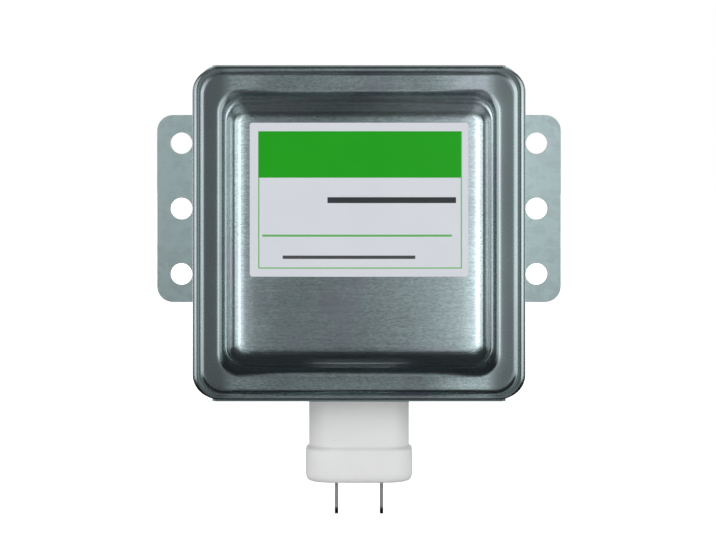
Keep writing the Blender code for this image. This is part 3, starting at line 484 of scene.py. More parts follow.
def add_prism(bm, outline, low, high, axis="third"):
    place = PRISM_AXES[axis]
    ends = [[bm.verts.new(place(p[0], p[1], along)) for p in outline] for along in (low, high)]
    bm.faces.new(ends[0])
    bm.faces.new(ends[1])
    for i in range(len(outline)):
        j = (i + 1) % len(outline)
        bm.faces.new((ends[0][i], ends[0][j], ends[1][j], ends[1][i]))


def mesh_from(name, bm, placing):
    bmesh.ops.remove_doubles(bm, verts=bm.verts, dist=1e-7)
    bmesh.ops.recalc_face_normals(bm, faces=bm.faces)
    mesh = bpy.data.meshes.new(name)
    bm.to_mesh(mesh)
    bm.free()
    mesh.transform(placing)
    return mesh


def new_piece(name, mesh):
    obj = bpy.data.objects.new(name, mesh)
    bpy.context.scene.collection.objects.link(obj)
    return obj


def prism_piece(name, outline, low, high, axis="third", placing=TUBE):
    bm = bmesh.new()
    add_prism(bm, outline, low, high, axis)
    return new_piece(name, mesh_from(name, bm, placing))


def turned_piece(name, profile, segments=96):
    """A solid turned about the third axis from a closed profile of (along, radius)."""
    bm = bmesh.new()
    rings = []
    for along, radius in profile:
        if radius == 0:
            rings.append([bm.verts.new((0, 0, along))] * segments)
        else:
            ring = circle(radius, segments=segments)
            rings.append([bm.verts.new((p.x, p.y, along)) for p in ring])
    for k in range(len(rings)):
        first, second = rings[k - 1], rings[k]
        for i in range(segments):
            corners = list(dict.fromkeys((first[i - 1], first[i], second[i], second[i - 1])))
            if len(corners) > 2:
                bm.faces.new(corners)
    return new_piece(name, mesh_from(name, bm, TUBE))


def lofted_piece(name, rings, close, placing=TUBE):
    """A skin through rings of equal point counts. close is front, ends or loop."""
    bm = bmesh.new()
    loops = [[bm.verts.new(point) for point in ring] for ring in rings]
    pairs = list(zip(loops, loops[1:]))
    if close == "loop":
        pairs.append((loops[-1], loops[0]))
    else:
        bm.faces.new(loops[-1])
    if close == "ends":
        bm.faces.new(loops[0])
    for first, second in pairs:
        for i in range(len(first)):
            bm.faces.new((first[i - 1], first[i], second[i], second[i - 1]))
    return new_piece(name, mesh_from(name, bm, placing))


def boolean(obj, tool, operation="DIFFERENCE"):
    """Cuts or joins the tool, and removes it once the result is applied."""
    modifier = obj.modifiers.new("join", "BOOLEAN")
    modifier.operation = operation
    modifier.object = tool
    modifier.solver = "EXACT"
    apply_modifiers(obj)
    bpy.data.objects.remove(tool)


def apply_modifiers(obj):
    bpy.context.view_layer.update()
    graph = bpy.context.evaluated_depsgraph_get()
    mesh = bpy.data.meshes.new_from_object(obj.evaluated_get(graph))
    obj.modifiers.clear()
    obj.data = mesh


def soften(obj, width, segments=2):
    """Rounds the sharp edges by a small width and shades the rest smooth."""
    bm = bmesh.new()
    bm.from_mesh(obj.data)
    bmesh.ops.dissolve_limit(
        bm, angle_limit=math.radians(0.2), verts=bm.verts, edges=bm.edges, delimit={"NORMAL"}
    )
    bm.to_mesh(obj.data)
    bm.free()
    modifier = obj.modifiers.new("edges", "BEVEL")
    modifier.width = width
    modifier.segments = segments
    modifier.limit_method = "ANGLE"
    modifier.angle_limit = math.radians(SHARP_ANGLE)
    modifier.harden_normals = True
    smooth(obj)
    apply_modifiers(obj)


def smooth(obj, angle=SHARP_ANGLE):
    obj.data.shade_smooth()
    obj.data.set_sharp_from_angle(angle=math.radians(angle))


def wire_piece(name, points, radius, closed=False, sides=3):
    """A smooth wire along the points."""
    curve = bpy.data.curves.new(name, "CURVE")
    curve.dimensions = "3D"
    curve.bevel_depth = radius
    curve.bevel_resolution = sides
    curve.use_fill_caps = True
    spline = curve.splines.new("POLY")
    spline.points.add(len(points) - 1)
    spline.use_cyclic_u = closed
    for spline_point, point in zip(spline.points, points):
        spline_point.co = (*(TUBE @ Vector(point)), 1)
    obj = bpy.data.objects.new(name + "_curve", curve)
    bpy.context.scene.collection.objects.link(obj)
    bpy.context.view_layer.update()
    graph = bpy.context.evaluated_depsgraph_get()
    mesh = bpy.data.meshes.new_from_object(obj.evaluated_get(graph))
    bpy.data.objects.remove(obj)
    mesh.shade_smooth()
    return new_piece(name, mesh)


def bezier(p0, p1, p2, p3, count):
    points = []
    for i in range(count):
        t = i / count
        weights = ((1 - t) ** 3, 3 * t * (1 - t) ** 2, 3 * t * t * (1 - t), t**3)
        points.append(sum((w * Vector(p) for w, p in zip(weights, (p0, p1, p2, p3))), Vector((0, 0, 0))))
    return points


def spline_rows(rows, between):
    """Rows of numbers joined by a curve through all of them, with points added between."""
    result = []
    last = len(rows) - 1
    for k in range(last):
        before, here, there, after = (rows[max(0, min(last, k + d))] for d in (-1, 0, 1, 2))
        for step in range(between):
            t = step / between
            row = []
            for a, b, c, d in zip(before, here, there, after):
                curve = 2 * a - 5 * b + 4 * c - d + t * (3 * (b - c) + d - a)
                row.append(b + 0.5 * t * (c - a + t * curve))
            result.append(tuple(row))
    result.append(tuple(rows[-1]))
    return result


def stand_for(obj, nodes, material, body="root"):
    """The piece takes its finish, rides with the part and stands for its solids."""
    obj.data.materials.clear()
    obj.data.materials.append(MATERIALS[material])
    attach(obj, body)
    if nodes:
        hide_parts(*nodes)
    return obj


# Filter cover, box and label


def cover_rows():
    """In mm: inset at the sides, the top and the bottom, rise above the rim plane, corner radius."""
    skirt = [(0, 0, 0, -1000 * COVER_SKIRT, 5.8), (0, 0, 0, -1.5, 5.8)]
    rim = [
        (0.03, 0.005, 0.005, -0.4, 5.8),
        (0.1, 0.01, 0.01, 0.2, 5.8),
        (0.2, 0.015, 0.015, 0.44, 5.7),
        (0.35, 0.02, 0.025, 0.62, 5.6),
        (0.55, 0.035, 0.04, 0.76, 5.6),
        (0.8, 0.06, 0.07, 0.87, 5.5),
        (1.0, 0.1, 0.11, 0.93, 5.4),
        (1.15, 0.16, 0.18, 0.955, 5.3),
        (1.6, 0.75, 1.0, 0.935, 5.2),
    ]
    shoulder = [
        (1.75, 0.82, 1.08, 0.97, 5.2),
        (1.95, 0.94, 1.24, 1.02, 5.2),
        (2.15, 1.07, 1.4, 1.12, 5.2),
        (2.35, 1.22, 1.58, 1.27, 5.2),
        (2.55, 1.38, 1.76, 1.43, 5.3),
        (2.75, 1.55, 1.96, 1.54, 5.3),
        (3.0, 1.8, 2.25, 1.59, 5.4),
    ]
    flange = [
        (3.4, 2.15, 2.6, 1.6, 5.5),
        (4.6, 3.5, 3.9, 1.61, 5.5),
        (5.6, 4.7, 4.9, 1.63, 5.4),
        (6.15, 5.15, 5.4, 1.66, 5.4),
        (6.58, 5.45, 5.8, 1.73, 5.3),
        (6.95, 5.68, 6.12, 1.85, 5.3),
        (7.26, 5.88, 6.42, 2.0, 5.2),
        (7.49, 6.02, 6.66, 2.18, 5.2),
        (7.62, 6.12, 6.84, 2.33, 5.2),
    ]
    wall = [
        (7.71, 6.28, 7.05, 2.75, 5.1),
        (7.8, 6.56, 7.28, 3.4, 5.0),
        (7.88, 7.0, 7.55, 4.05, 4.9),
        (8.02, 7.35, 7.8, 4.6, 4.8),
        (8.2, 7.8, 8.05, 4.95, 4.7),
        (8.4, 8.2, 8.3, 5.2, 4.5),
        (8.62, 8.55, 8.42, 5.6, 4.3),
        (8.9, 8.95, 8.58, 6.25, 4.1),
        (9.18, 9.3, 8.78, 6.9, 3.9),
    ]
    fillet = [
        (9.45, 9.65, 9.12, 7.4, 3.7),
        (9.82, 9.98, 9.58, 7.93, 3.5),
        (10.2, 10.25, 9.97, 8.35, 3.3),
        (10.58, 10.5, 10.32, 8.68, 3.1),
        (10.98, 10.75, 10.65, 8.93, 2.9),
        (11.38, 11.0, 10.96, 9.11, 2.8),
        (11.78, 11.25, 11.24, 9.23, 2.6),
        (12.2, 11.5, 11.52, 9.31, 2.5),
        (12.9, 11.95, 11.9, 9.4, 2.3),
        (14.2, 12.7, 12.6, 9.46, 2.1),
        (15.5, 13.8, 13.6, 9.49, 1.9),
    ]
    panel = [
        (18, 16.5, 16, 9.5, 1.7),
        (24, 22, 22, 9.5, 1.4),
        (31, 30, 30, 9.5, 1.1),
        (38, 38, 37.5, 9.5, 0.8),
    ]
    return skirt + rim + shoulder + flange + wall + fillet + panel


def eased(value, low, high):
    share = min(1, max(0, (value - low) / (high - low)))
    return share * share * (3 - 2 * share)


def bow(x, inset):
    """How far the sheet lies behind its row: a domed panel, and a flange lower at its sides."""
    dome = PANEL_BOW * x * x / 2 * eased(inset, 0.0078, 0.0094)
    held = eased(inset, 0.0014, 0.0030) * eased(inset, 0.0080, 0.0060)
    return dome + FLANGE_SAG * (eased(abs(x), 0.0180, 0.0345) - 0.5) * held


def divided(outline, arc, steps):
    """A filleted outline with its four straight runs cut into steps."""
    points = []
    for i, corner in enumerate(outline):
        ahead = Vector(outline[(i + 1) % len(outline)])
        count = steps if i % arc == arc - 1 else 1
        points += [Vector(corner).lerp(ahead, step / count) for step in range(count)]
    return points


def make_cover():
    rings = []
    for row in spline_rows(cover_rows(), 3):
        side, top, bottom, rise, radius = (value / 1000 for value in row)
        half_x, half_up = COVER_HALF[0] - side, COVER_HALF[1] - (top + bottom) / 2
        outline = rectangle(half_x, half_up, radius, (0, BOX_CENTRE_UP + (bottom - top) / 2), 12)
        ring = divided(outline, 13, 12)
        rings.append([(x, up, COVER_RIM_DEPTH + rise - bow(x, side)) for x, up in ring])
    cover = lofted_piece("filter_cover_fine", rings, "front")
    sheet = cover.modifiers.new("sheet", "SOLIDIFY")
    sheet.thickness = COVER_THICK
    sheet.offset = -1
    sheet.use_even_offset = True
    apply_modifiers(cover)
    smooth(cover, 50)
    stand_for(cover, ["filter_cover"], "drawn_steel")


def make_label():
    low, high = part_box("cover_label")
    half = ((high.x - low.x) / 2, (high.z - low.z) / 2)
    centre = ((high.x + low.x) / 2, (high.z + low.z) / 2)
    rings = []
    for share in (0.0, 0.04, 0.1, 0.2, 0.35, 0.5, 0.65, 0.8, 0.95):
        inset = share * half[1]
        corners = rectangle(half[0] - inset, half[1] - inset, 0.0006 * (1 - share), centre, 6)
        rings.append([(x, up, -low.y - bow(x, PANEL_INSET)) for x, up in divided(corners, 7, 24)])
    edge = [(x, up, depth - LABEL_THICK) for x, up, depth in rings[0]]
    label = lofted_piece("cover_label_fine", [edge] + rings, "ends")
    smooth(label)
    stand_for(label, ["cover_label"], "label_film")


def box_cheeks(low, high):
    """The tray's two side walls from low to high, which stop short of its corners."""
    centre = (0, BOX_CENTRE_UP)
    ring = prism_piece("cheeks", rectangle(*BOX_HALF, BOX_CORNER, centre, 12), low, high)
    inner = [half - BOX_THICK for half in BOX_HALF]
    hollow = rectangle(*inner, BOX_CORNER - BOX_THICK, centre, 12)
    boolean(ring, prism_piece("hollow", hollow, low - 0.001, high + 0.001))
    past_walls = 0.05
    keep = rectangle(past_walls, BOX_SIDE_HALF_UP, 0, centre)
    boolean(ring, prism_piece("keep", keep, low - 0.001, high + 0.001), "INTERSECT")
    return ring


def make_box():
    """A drawn tray. Its walls are cut back at the corners where the cover's skirt fits over it."""
    rows = [
        (BOX_NOTCH_DEPTH, 0),
        (BOX_BACK + 0.0016, 0),
        (BOX_BACK + 0.0006, 0.0003),
        (BOX_BACK + 0.0002, 0.0008),
        (BOX_BACK, 0.0015),
    ]
    rings = []
    for thick in (0, BOX_THICK):
        skin = []
        for depth, inset in rows:
            inset += thick
            outline = rectangle(
                BOX_HALF[0] - inset, BOX_HALF[1] - inset, BOX_CORNER - inset, (0, BOX_CENTRE_UP), 12
            )
            skin.append([(x, up, max(depth, BOX_BACK + thick)) for x, up in outline])
        rings.append(skin)
    bm = bmesh.new()
    loops = [[bm.verts.new(point) for point in ring] for ring in rings[0] + rings[1][::-1]]
    count = len(rows)
    for k in range(len(loops)):
        if k == count - 1:
            bm.faces.new(loops[k])
            bm.faces.new(loops[k + 1])
            continue
        first, second = loops[k], loops[(k + 1) % len(loops)]
        for i in range(len(first)):
            bm.faces.new((first[i - 1], first[i], second[i], second[i - 1]))
    box = new_piece("filter_box_fine", mesh_from("filter_box_fine", bm, TUBE))
    below_notch = BOX_NOTCH_DEPTH - 0.0005
    for side in (-1, 1):
        outer = BOX_CENTRE_UP + side * BOX_HALF[1]
        tip, chamfer = BOX_LIP_HALF_X, BOX_LIP_CHAMFER
        lip = [(-tip, below_notch), (-tip, BOX_LIP_DEPTH - chamfer), (chamfer - tip, BOX_LIP_DEPTH)]
        lip += [(-x, depth) for x, depth in lip[::-1]]
        low, high = sorted((outer, outer - side * BOX_THICK))
        boolean(box, prism_piece("lip", lip, low + 0.00001, high - 0.00001, "second"), "UNION")
    boolean(box, box_cheeks(below_notch, BOX_SIDE_DEPTH), "UNION")
    bm = bmesh.new()
    past = 0.002
    add_prism(bm, circle(0.0108, segments=72), BOX_BACK - past, BOX_BACK + past)
    bottom = BOX_BOTTOM_UP
    add_prism(bm, rectangle(0.0080, 0.0044, 0.0040, (0, PLUG_DEPTH)), bottom - past, bottom + past, "second")
    for side in (-1, 1):
        hole = circle(0.0017, (side * 0.0152, PLUG_DEPTH), 24)
        add_prism(bm, hole, bottom - past, bottom + past, "second")
    boolean(box, new_piece("openings", mesh_from("openings", bm, TUBE)))
    soften(box, 0.00025)
    stand_for(box, ["filter_box"], "galvanised_sheet")


# Mounting plate, yoke and magnets


def make_plate():
    quarter = [(0.054, 0.025, 0.0042), (0.040, 0.025, 0.002), (0.040, 0.033, 0.003)]
    corners = quarter + [(-x, u, r) for x, u, r in quarter[::-1]]
    corners += [(-x, -u, r) for x, u, r in quarter] + [(x, -u, r) for x, u, r in quarter[::-1]]
    thick = 0.0016
    plate = prism_piece("mounting_plate_fine", filleted(corners), 0, thick)
    collar = [(thick / 2, 0.0169), (-0.0022, 0.0169), (-0.0022, 0.0181), (thick / 2, 0.0181)]
    boolean(plate, turned_piece("collar", collar), "UNION")
    bm = bmesh.new()
    past = 0.001
    add_prism(bm, circle(0.0106, segments=72), -past, thick + past)
    for side in (-1, 1):
        for row in (-1, 0, 1):
            add_prism(bm, circle(0.0029, (side * 0.0475, row * 0.0175), 40), -past, thick + past)
        for row in (-1, 1):
            slot = rectangle(0.0011, 0.0043, 0.0003, (side * 0.0392, row * 0.013), 3)
            add_prism(bm, slot, -past, thick + past)
    boolean(plate, new_piece("holes", mesh_from("holes", bm, TUBE)))
    soften(plate, 0.00022, 3)
    stand_for(plate, ["mounting_plate"], "galvanised_sheet")


def make_yoke():
    thick, bend = 0.0016, 0.0023
    middle_x, back, front = 0.0392, 0.0528, 0.0019
    corners = [(-middle_x, front, 0), (-middle_x, back, bend), (middle_x, back, bend), (middle_x, front, 0)]
    section = sheet_section(filleted(corners, closed=False), thick)
    yoke = prism_piece("yoke_frame_fine", section, -0.033, 0.033, "second")
    bm = bmesh.new()
    for side in (-1, 1):
        for row in (-1, 1):
            stake = rectangle(thick / 2 - 0.00002, 0.004, 0, (side * middle_x, row * 0.013))
            add_prism(bm, stake, 0.0001, front + 0.002)
    boolean(yoke, new_piece("stakes", mesh_from("stakes", bm, TUBE)), "UNION")
    boolean(yoke, prism_piece("bore", circle(0.0120, segments=72), back - 0.003, back + 0.003))
    soften(yoke, 0.00018, 3)
    stand_for(yoke, ["yoke_frame"], "galvanised_sheet")


def make_magnets():
    for node in ("magnet_output_side", "magnet_stem_side"):
        low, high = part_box(node)
        start, end = -high.y, -low.y
        outer, inner, chamfer = high.x, 0.0102, 0.0008
        profile = [
            (start, inner + 0.0003),
            (start, outer - chamfer),
            (start + chamfer, outer),
            (end - chamfer, outer),
            (end, outer - chamfer),
            (end, inner + 0.0003),
            (end - 0.0003, inner),
            (start + 0.0003, inner),
        ]
        magnet = turned_piece(node + "_fine", profile, 128)
        soften(magnet, 0.00015)
        stand_for(magnet, [node], "ferrite")


# Cooling fins and the tube's outer shells


def make_fins():
    count, thick, middle_pitch, outer_pitch = 6, 0.0006, 0.0036, 0.0074
    anode_low, anode_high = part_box("anode_cylinder")
    anode_middle = -(anode_low.y + anode_high.y) / 2
    bore, wall, collar = anode_high.x + 0.0003, 0.0005, 0.0022
    for i in range(count):
        place = i - (count - 1) / 2
        middle = anode_middle + place * middle_pitch
        outer = anode_middle + place * outer_pitch
        half = [(0.0377, outer + 0.003, 0), (0.0377, outer, 0.0007)]
        half += [(0.033, outer, 0.0012), (0.0278, middle, 0.0012)]
        corners = half + [(-x, depth, r) for x, depth, r in half[::-1]]
        section = sheet_section(filleted(corners, closed=False, steps=5), thick)
        name = f"cooling_fin_{i + 1}"
        fin = prism_piece(name + "_fine", section, -0.030, 0.030, "second")
        boolean(fin, prism_piece("burr", circle(bore + wall, segments=96), middle, middle + collar), "UNION")
        boolean(fin, prism_piece("bore", circle(bore, segments=96), middle - 0.003, middle + 0.005))
        soften(fin, 0.00008)
        stand_for(fin, [name], "fin_aluminium")


def turned_for(node, profile, slot, edge=0.00012):
    piece = turned_piece(node + "_fine", profile)
    soften(piece, edge)
    stand_for(piece, [node], slot)


def make_tube_shells():
    low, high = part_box("anode_cylinder")
    start, end = -high.y, -low.y
    profile = [
        (start, 0.0182),
        (start, 0.0195),
        (end, 0.0195),
        (end, 0.0182),
        (end - 0.0022, 0.0182),
        (end - 0.0022, 0.0175),
        (start + 0.0022, 0.0175),
        (start + 0.0022, 0.0182),
    ]
    turned_for("anode_cylinder", profile, "copper")
    low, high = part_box("output_sleeve")
    seat, neck_end, wall = -low.y, -high.y, 0.0005
    outer = filleted(
        [(seat - wall, 0.0192, 0), (seat - wall, 0.0098, 0.0006), (-0.0060, 0.0098, 0.0012),
         (-0.0085, 0.0082, 0.0012), (neck_end, 0.0082, 0)],
        closed=False,
        steps=5,
    )
    inner = filleted(
        [(neck_end, 0.0077, 0), (-0.0085, 0.0077, 0.0010), (-0.0060, 0.0093, 0.0010), (seat, 0.0093, 0),
         (seat, 0.0192, 0)],
        closed=False,
        steps=5,
    )
    turned_for("output_sleeve", [tuple(p) for p in outer + inner], "tube_steel", edge=0.00008)
    low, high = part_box("output_ceramic")
    profile = [(-low.y, 0.0056), (-low.y, 0.0079), (-high.y, 0.0079), (-high.y, 0.0056)]
    turned_for("output_ceramic", profile, "alumina", edge=0.0002)
    low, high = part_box("antenna_cap")
    mouth, top = -low.y, -high.y
    outer = filleted([(top, 0, 0), (top, 0.0079, 0.0012), (mouth, 0.0079, 0)], closed=False, steps=8)
    inner = filleted([(mouth, 0.0074, 0), (top + 0.0005, 0.0074, 0.0008), (top + 0.0005, 0, 0)], closed=False)
    turned_for("antenna_cap", [tuple(p) for p in outer + inner], "tube_steel", edge=0.0001)


def make_gasket():
    """The knitted ring: wires that loop round the ring's section, crossing each other."""
    low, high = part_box("rf_gasket")
    far, near = -high.y, -low.y
    wire_radius = 0.00016
    inner, outer = 0.0110, high.x
    half_wide, half_high = (outer - inner) / 2 - wire_radius, (near - far) / 2 - wire_radius
    middle_radius, middle_depth = (inner + outer) / 2, (near + far) / 2
    loops, per_loop = 84, 22
    bm = bmesh.new()
    for lean in (-1, 1):
        points = []
        for i in range(loops * per_loop):
            turn = 2 * math.pi * i / per_loop
            round_ring = 2 * math.pi * i / (loops * per_loop) * lean
            sway = 0.022 * math.sin(3 * turn + lean)
            squarish = 1 / (abs(math.cos(turn)) ** 4 + abs(math.sin(turn)) ** 4) ** 0.25
            sink = 1 - (0.05 if lean > 0 else 0.0) - 0.02 * math.cos(5 * turn)
            radius = middle_radius + half_wide * squarish * sink * math.cos(turn)
            depth = middle_depth + half_high * squarish * sink * math.sin(turn)
            angle = round_ring + sway
            points.append((radius * math.cos(angle), radius * math.sin(angle), depth))
        strand = wire_piece("strand", points, wire_radius, closed=True, sides=1)
        bm.from_mesh(strand.data)
        bpy.data.objects.remove(strand)
    core_points = rectangle(half_high * 0.90, half_wide * 0.88, 0.0016, (middle_depth, middle_radius), 4)
    core = turned_piece("core", [tuple(p) for p in core_points], 96)
    bm.from_mesh(core.data)
    bpy.data.objects.remove(core)
    mesh = bpy.data.meshes.new("rf_gasket_knit")
    bm.to_mesh(mesh)
    bm.free()
    mesh.shade_smooth()
    gasket = new_piece("rf_gasket_knit", mesh)
    stand_for(gasket, ["rf_gasket"], "gasket_wire")


# Plug, tabs and the filter's inside


def make_plug():
    neck, collar = (0.0122, 0.0080), (0.0130, 0.0088)
    neck_end, end, start = 0.0117, 0.0203, 0.0003
    # Distance out from the box, share of the way from neck to collar, and inset
    rows = [
        (start, 0, 0),
        (start + 0.0002, 0, -0.0002),
        (neck_end - 0.0002, 0, 0),
        (neck_end + 0.0001, 0.15, 0),
        (neck_end + 0.0004, 0.7, 0),
        (neck_end + 0.0009, 1, 0),
        (neck_end + 0.0016, 1, 0),
        (end - 0.0020, 1, 0),
        (end - 0.0013, 1, 0.0001),
        (end - 0.0006, 1, 0.0004),
        (end - 0.0002, 1, 0.0008),
        (end, 1, 0.0013),
    ]
    rings = []
    for out, share, inset in rows:
        half_x = neck[0] + share * (collar[0] - neck[0]) - max(inset, 0)
        half_depth = neck[1] + share * (collar[1] - neck[1]) - max(inset, 0)
        rings.append([(x, depth, out) for x, depth in rectangle(half_x, half_depth, 0.0060, steps=14)])
    for out, grow in ((end, 0.0003), (end - 0.0003, 0), (start, 0)):
        ring = rectangle(0.0106 + grow, 0.0064 + grow, 0.0045 + grow, steps=14)
        rings.append([(x, depth, out) for x, depth in ring])
    case = lofted_piece("capacitor_case_fine", rings, "loop", PLUG)
    smooth(case, 42)
    stand_for(case, ["capacitor_case"], "white_plastic")


def make_tabs():
    root, tip, half, thick = 0.0191, 0.0284, 0.00315, 0.0008
    outline = filleted(
        [(-half, root, 0), (half, root, 0), (half, tip - 0.0016, 0.0004), (half - 0.0011, tip, 0.0003),
         (-half + 0.0011, tip, 0.0003), (-half, tip - 0.0016, 0.0004)],
        steps=4,
    )
    for name, side in (("terminal_tab_left", -1), ("terminal_tab_right", 1)):
        x = side * 0.0055
        low, high = x - thick / 2, x + thick / 2
        tab = prism_piece(name + "_fine", outline, low, high, "first", PLUG)
        pin = prism_piece("pin", circle(0.0009, (x, 0), 24), -0.0169, root + 0.001, placing=PLUG)
        boolean(tab, pin, "UNION")
        hole = circle(0.0008, (0, tip - 0.004), 32)
        boolean(tab, prism_piece("hole", hole, low - 0.001, high + 0.001, "first", PLUG))
        soften(tab, 0.00012)
        stand_for(tab, [name], "tinned_tab")


def make_chokes():
    coil_x, coil_depth, coil_radius, wire_radius = 0.0200, 0.0670, 0.0036, 0.00065
    turns, pitch, start_up, per_turn = 10.25, 0.0023, -0.0230, 28
    steps = round(turns * per_turn)
    pin_up = BOX_BOTTOM_UP + 0.0169 + 0.0003 + wire_radius
    for name, side in (("left", -1), ("right", 1)):
        coil = []
        for i in range(steps + 1):
            turn = 2 * math.pi * turns * i / steps
            x = coil_x + coil_radius * math.cos(turn)
            depth = coil_depth + coil_radius * math.sin(turn)
            coil.append(Vector((x, start_up + pitch * turn / (2 * math.pi), depth)))
        foot = Vector((0.0047, pin_up, PLUG_DEPTH))
        near = coil[0] - Vector((0, 0.0006, 0.0040))
        lead = [foot] + bezier(foot + Vector((0.002, 0, 0)), foot + Vector((0.008, 0, 0)), near, coil[0], 20)
        tail = [Vector((0.0037, coil[-1].y, coil[-1].z))]
        points = [Vector((side * p.x, p.y, p.z)) for p in lead + coil + tail]
        choke = wire_piece(f"choke_coil_{name}_fine", points, wire_radius)
        stand_for(choke, [f"choke_coil_{name}"], "choke_wire")


def dress_remaining_nodes():
    """Every solid takes the procedural finish of its own slot, also one that a piece stands for."""
    slots = {row["node"]: row["material_slot"] for row in frame["record"]["subparts"]}
    for name, node in frame["nodes"].items():
        node.data.materials.clear()
        node.data.materials.append(MATERIALS[slots[name]])


# Stage, light and camera


def make_floor():
    """A pale floor just under the tabs, which glows for the camera and in reflections only.

    Reflections see it only far behind the part. Nearer they see a painted dark reflection instead,
    and before that patch the floor is clear, so they see the studio.
    """
    level = cad_box[0][2] - FLOOR_BELOW_TABS
    half = 6.0
    bm = bmesh.new()
    corners = ((-half, -half), (half, -half), (half, half), (-half, half))
    bm.faces.new([bm.verts.new((x, y, level)) for x, y in corners])
    mesh = bpy.data.meshes.new("floor")
    bm.to_mesh(mesh)
    bm.free()
    floor = new_piece("floor", mesh)
    shader = Shader("floor_paint")
    shader.surface.inputs["Base Color"].default_value = (0.90, 0.90, 0.90, 1)
    shader.plain(roughness=0.9, specular=0.0)
    path = shader.node("ShaderNodeLightPath").outputs
    lift = shader.node("ShaderNodeEmission")
    shown = shader.math("MAXIMUM", path["Is Camera Ray"], path["Is Glossy Ray"])
    shader.link(shader.math("MULTIPLY", shown, FLOOR_LIFT), lift.inputs["Strength"])
    paint = shader.node("ShaderNodeAddShader")
    shader.link(shader.surface.outputs["BSDF"], paint.inputs[0])
    shader.link(lift.outputs["Emission"], paint.inputs[1])
    # Painted dark reflection: a dark glow that only reflections see, nearer the part
    dark_reflection = shader.node("ShaderNodeEmission")
    dark_reflection.inputs["Color"].default_value = (DARK_REFLECTION_TONE, DARK_REFLECTION_TONE * 1.1, DARK_REFLECTION_TONE * 1.15, 1)
    clear = shader.node("ShaderNodeBsdfTransparent")
    depth = shader.axes()["Y"]
    past_front = shader.between(depth, 0, 1, DARK_REFLECTION_FRONT - DARK_REFLECTION_FADE, DARK_REFLECTION_FRONT)
    before_back = shader.between(depth, 1, 0, DARK_REFLECTION_BACK, DARK_REFLECTION_BACK + DARK_REFLECTION_FADE)
    near = shader.blended(past_front, clear.outputs["BSDF"], dark_reflection.outputs["Emission"])
    reflected = shader.math("MULTIPLY", path["Is Glossy Ray"], before_back)
    seen = shader.blended(reflected, paint.outputs["Shader"], near)
    output = next(node for node in shader.tree.nodes if node.type == "OUTPUT_MATERIAL")
    shader.link(seen, output.inputs["Surface"])
    mesh.materials.append(shader.material)


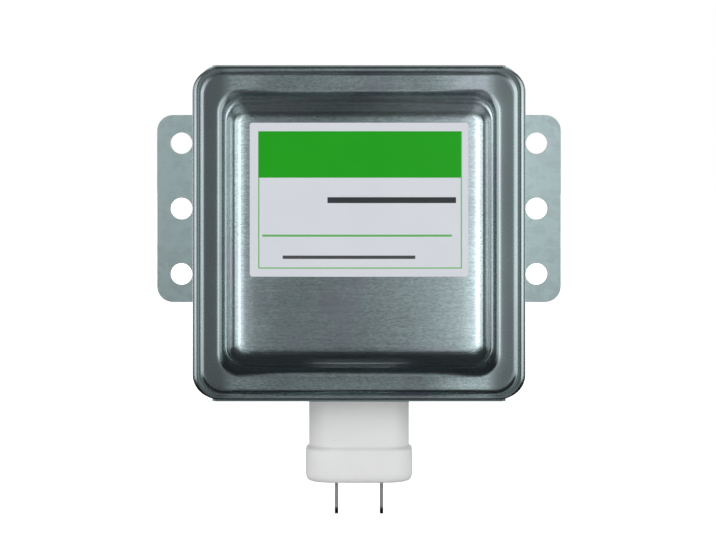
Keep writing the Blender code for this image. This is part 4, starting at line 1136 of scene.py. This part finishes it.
def make_world():
    """White to the camera, an even daylight to matt surfaces, and a grey studio in metal.

    Metal and glass also see white low behind the part, where the background is.
    """
    world = bpy.data.worlds.new("studio")
    bpy.context.scene.world = world
    world.use_nodes = True
    tree = world.node_tree
    tree.nodes.clear()

    def add(kind, **settings):
        node = tree.nodes.new(kind)
        for key, value in settings.items():
            setattr(node, key, value)
        return node

    def ramp(output, low_in, high_in, low, high):
        node = add("ShaderNodeMapRange", interpolation_type="SMOOTHSTEP")
        for key, value in zip(RANGE_SOCKETS, (low_in, high_in, low, high)):
            node.inputs[key].default_value = value
        tree.links.new(output, node.inputs["Value"])
        return node.outputs["Result"]

    def combine(operation, first, second):
        node = add("ShaderNodeMath", operation=operation)
        tree.links.new(first, node.inputs[0])
        tree.links.new(second, node.inputs[1])
        return node.outputs["Value"]

    def background(colour, strength=1.0):
        node = add("ShaderNodeBackground")
        node.inputs["Color"].default_value = (*colour, 1)
        node.inputs["Strength"].default_value = strength
        return node

    def blend(factor, first, second):
        node = add("ShaderNodeMixShader")
        for socket, output in zip(node.inputs, (factor, first, second)):
            tree.links.new(output, socket)
        return node.outputs["Shader"]

    direction = add("ShaderNodeSeparateXYZ")
    tree.links.new(add("ShaderNodeTexCoord").outputs["Generated"], direction.inputs["Vector"])
    across, back, up = (direction.outputs[axis] for axis in "XYZ")
    left = combine(
        "SUBTRACT",
        ramp(across, -0.62, -0.06, STUDIO_LEFT, 0.0),
        ramp(across, -0.80, -0.62, STUDIO_LEFT * SIDE_LOSS, 0.0),
    )
    right = combine(
        "SUBTRACT",
        ramp(across, -0.04, 0.36, STUDIO_MIDDLE, STUDIO_MIDDLE + STUDIO_RIGHT),
        ramp(across, 0.62, 0.80, 0.0, STUDIO_RIGHT * SIDE_LOSS),
    )
    ceiling = ramp(up, 0.10, 0.42, 1.0, CEILING_SHARE)
    beyond = combine(
        "SUBTRACT",
        ramp(back, 0.10, 0.34, 1.0, BAND_BEHIND),
        ramp(back, 0.46, 0.64, 0.0, BAND_BEHIND - DIM_BEHIND),
    )
    level = combine("MULTIPLY", combine("MULTIPLY", combine("ADD", left, right), ceiling), beyond)
    studio = background(STUDIO_COLOUR)
    tree.links.new(level, studio.inputs["Strength"])
    daylight = background((1, 1, 1), DAYLIGHT)
    white = background((1, 1, 1))
    path = add("ShaderNodeLightPath").outputs
    mirrored = combine("MAXIMUM", path["Is Glossy Ray"], path["Is Transmission Ray"])
    low_enough = ramp(up, 0.15, 0.45, 1.0, 0.0)
    behind = combine("MULTIPLY", ramp(back, 0.72, 0.97, 0.0, 1.0), low_enough)
    bright = combine("MAXIMUM", path["Is Camera Ray"], combine("MULTIPLY", mirrored, behind))
    around = blend(path["Is Diffuse Ray"], studio.outputs["Background"], daylight.outputs["Background"])
    output = add("ShaderNodeOutputWorld")
    tree.links.new(blend(bright, around, white.outputs["Background"]), output.inputs["Surface"])


def make_softbox(name, place, power):
    light = bpy.data.lights.new(name, "AREA")
    light.shape = "RECTANGLE"
    light.size, light.size_y = SOFTBOX_SIZE
    light.energy = power
    obj = bpy.data.objects.new(name, light)
    obj.location = place
    obj.rotation_euler = (Vector(SOFTBOX_TARGET) - Vector(place)).to_track_quat("-Z", "Y").to_euler()
    bpy.context.scene.collection.objects.link(obj)


def make_camera():
    camera = bpy.data.cameras.new("camera")
    camera.sensor_width = SENSOR_MM
    camera.lens = FOCAL_PIXELS * SENSOR_MM / PHOTO_WIDE
    camera.shift_x = (PHOTO_WIDE / 2 - AXIS_PIXEL[0]) / PHOTO_WIDE
    camera.shift_y = (AXIS_PIXEL[1] - PHOTO_HIGH / 2) / PHOTO_WIDE
    camera.clip_start = 0.01
    camera.clip_end = 50
    obj = bpy.data.objects.new("camera", camera)
    obj.location = CAMERA_PLACE
    obj.rotation_euler = (math.pi / 2, 0, 0)
    bpy.context.scene.collection.objects.link(obj)
    bpy.context.scene.camera = obj


MATERIALS = make_materials()
make_cover()
make_label()
make_box()
make_plate()
make_yoke()
make_magnets()
make_fins()
make_tube_shells()
make_gasket()
make_plug()
make_tabs()
make_chokes()
dress_remaining_nodes()
make_floor()
make_world()
make_softbox("softbox_left", (-0.51, -0.405, 0.06), 1.05)
make_softbox("softbox_right", (0.495, -0.46, 0.06), 1.3)
make_camera()
bpy.context.scene.view_settings.view_transform = "Standard"
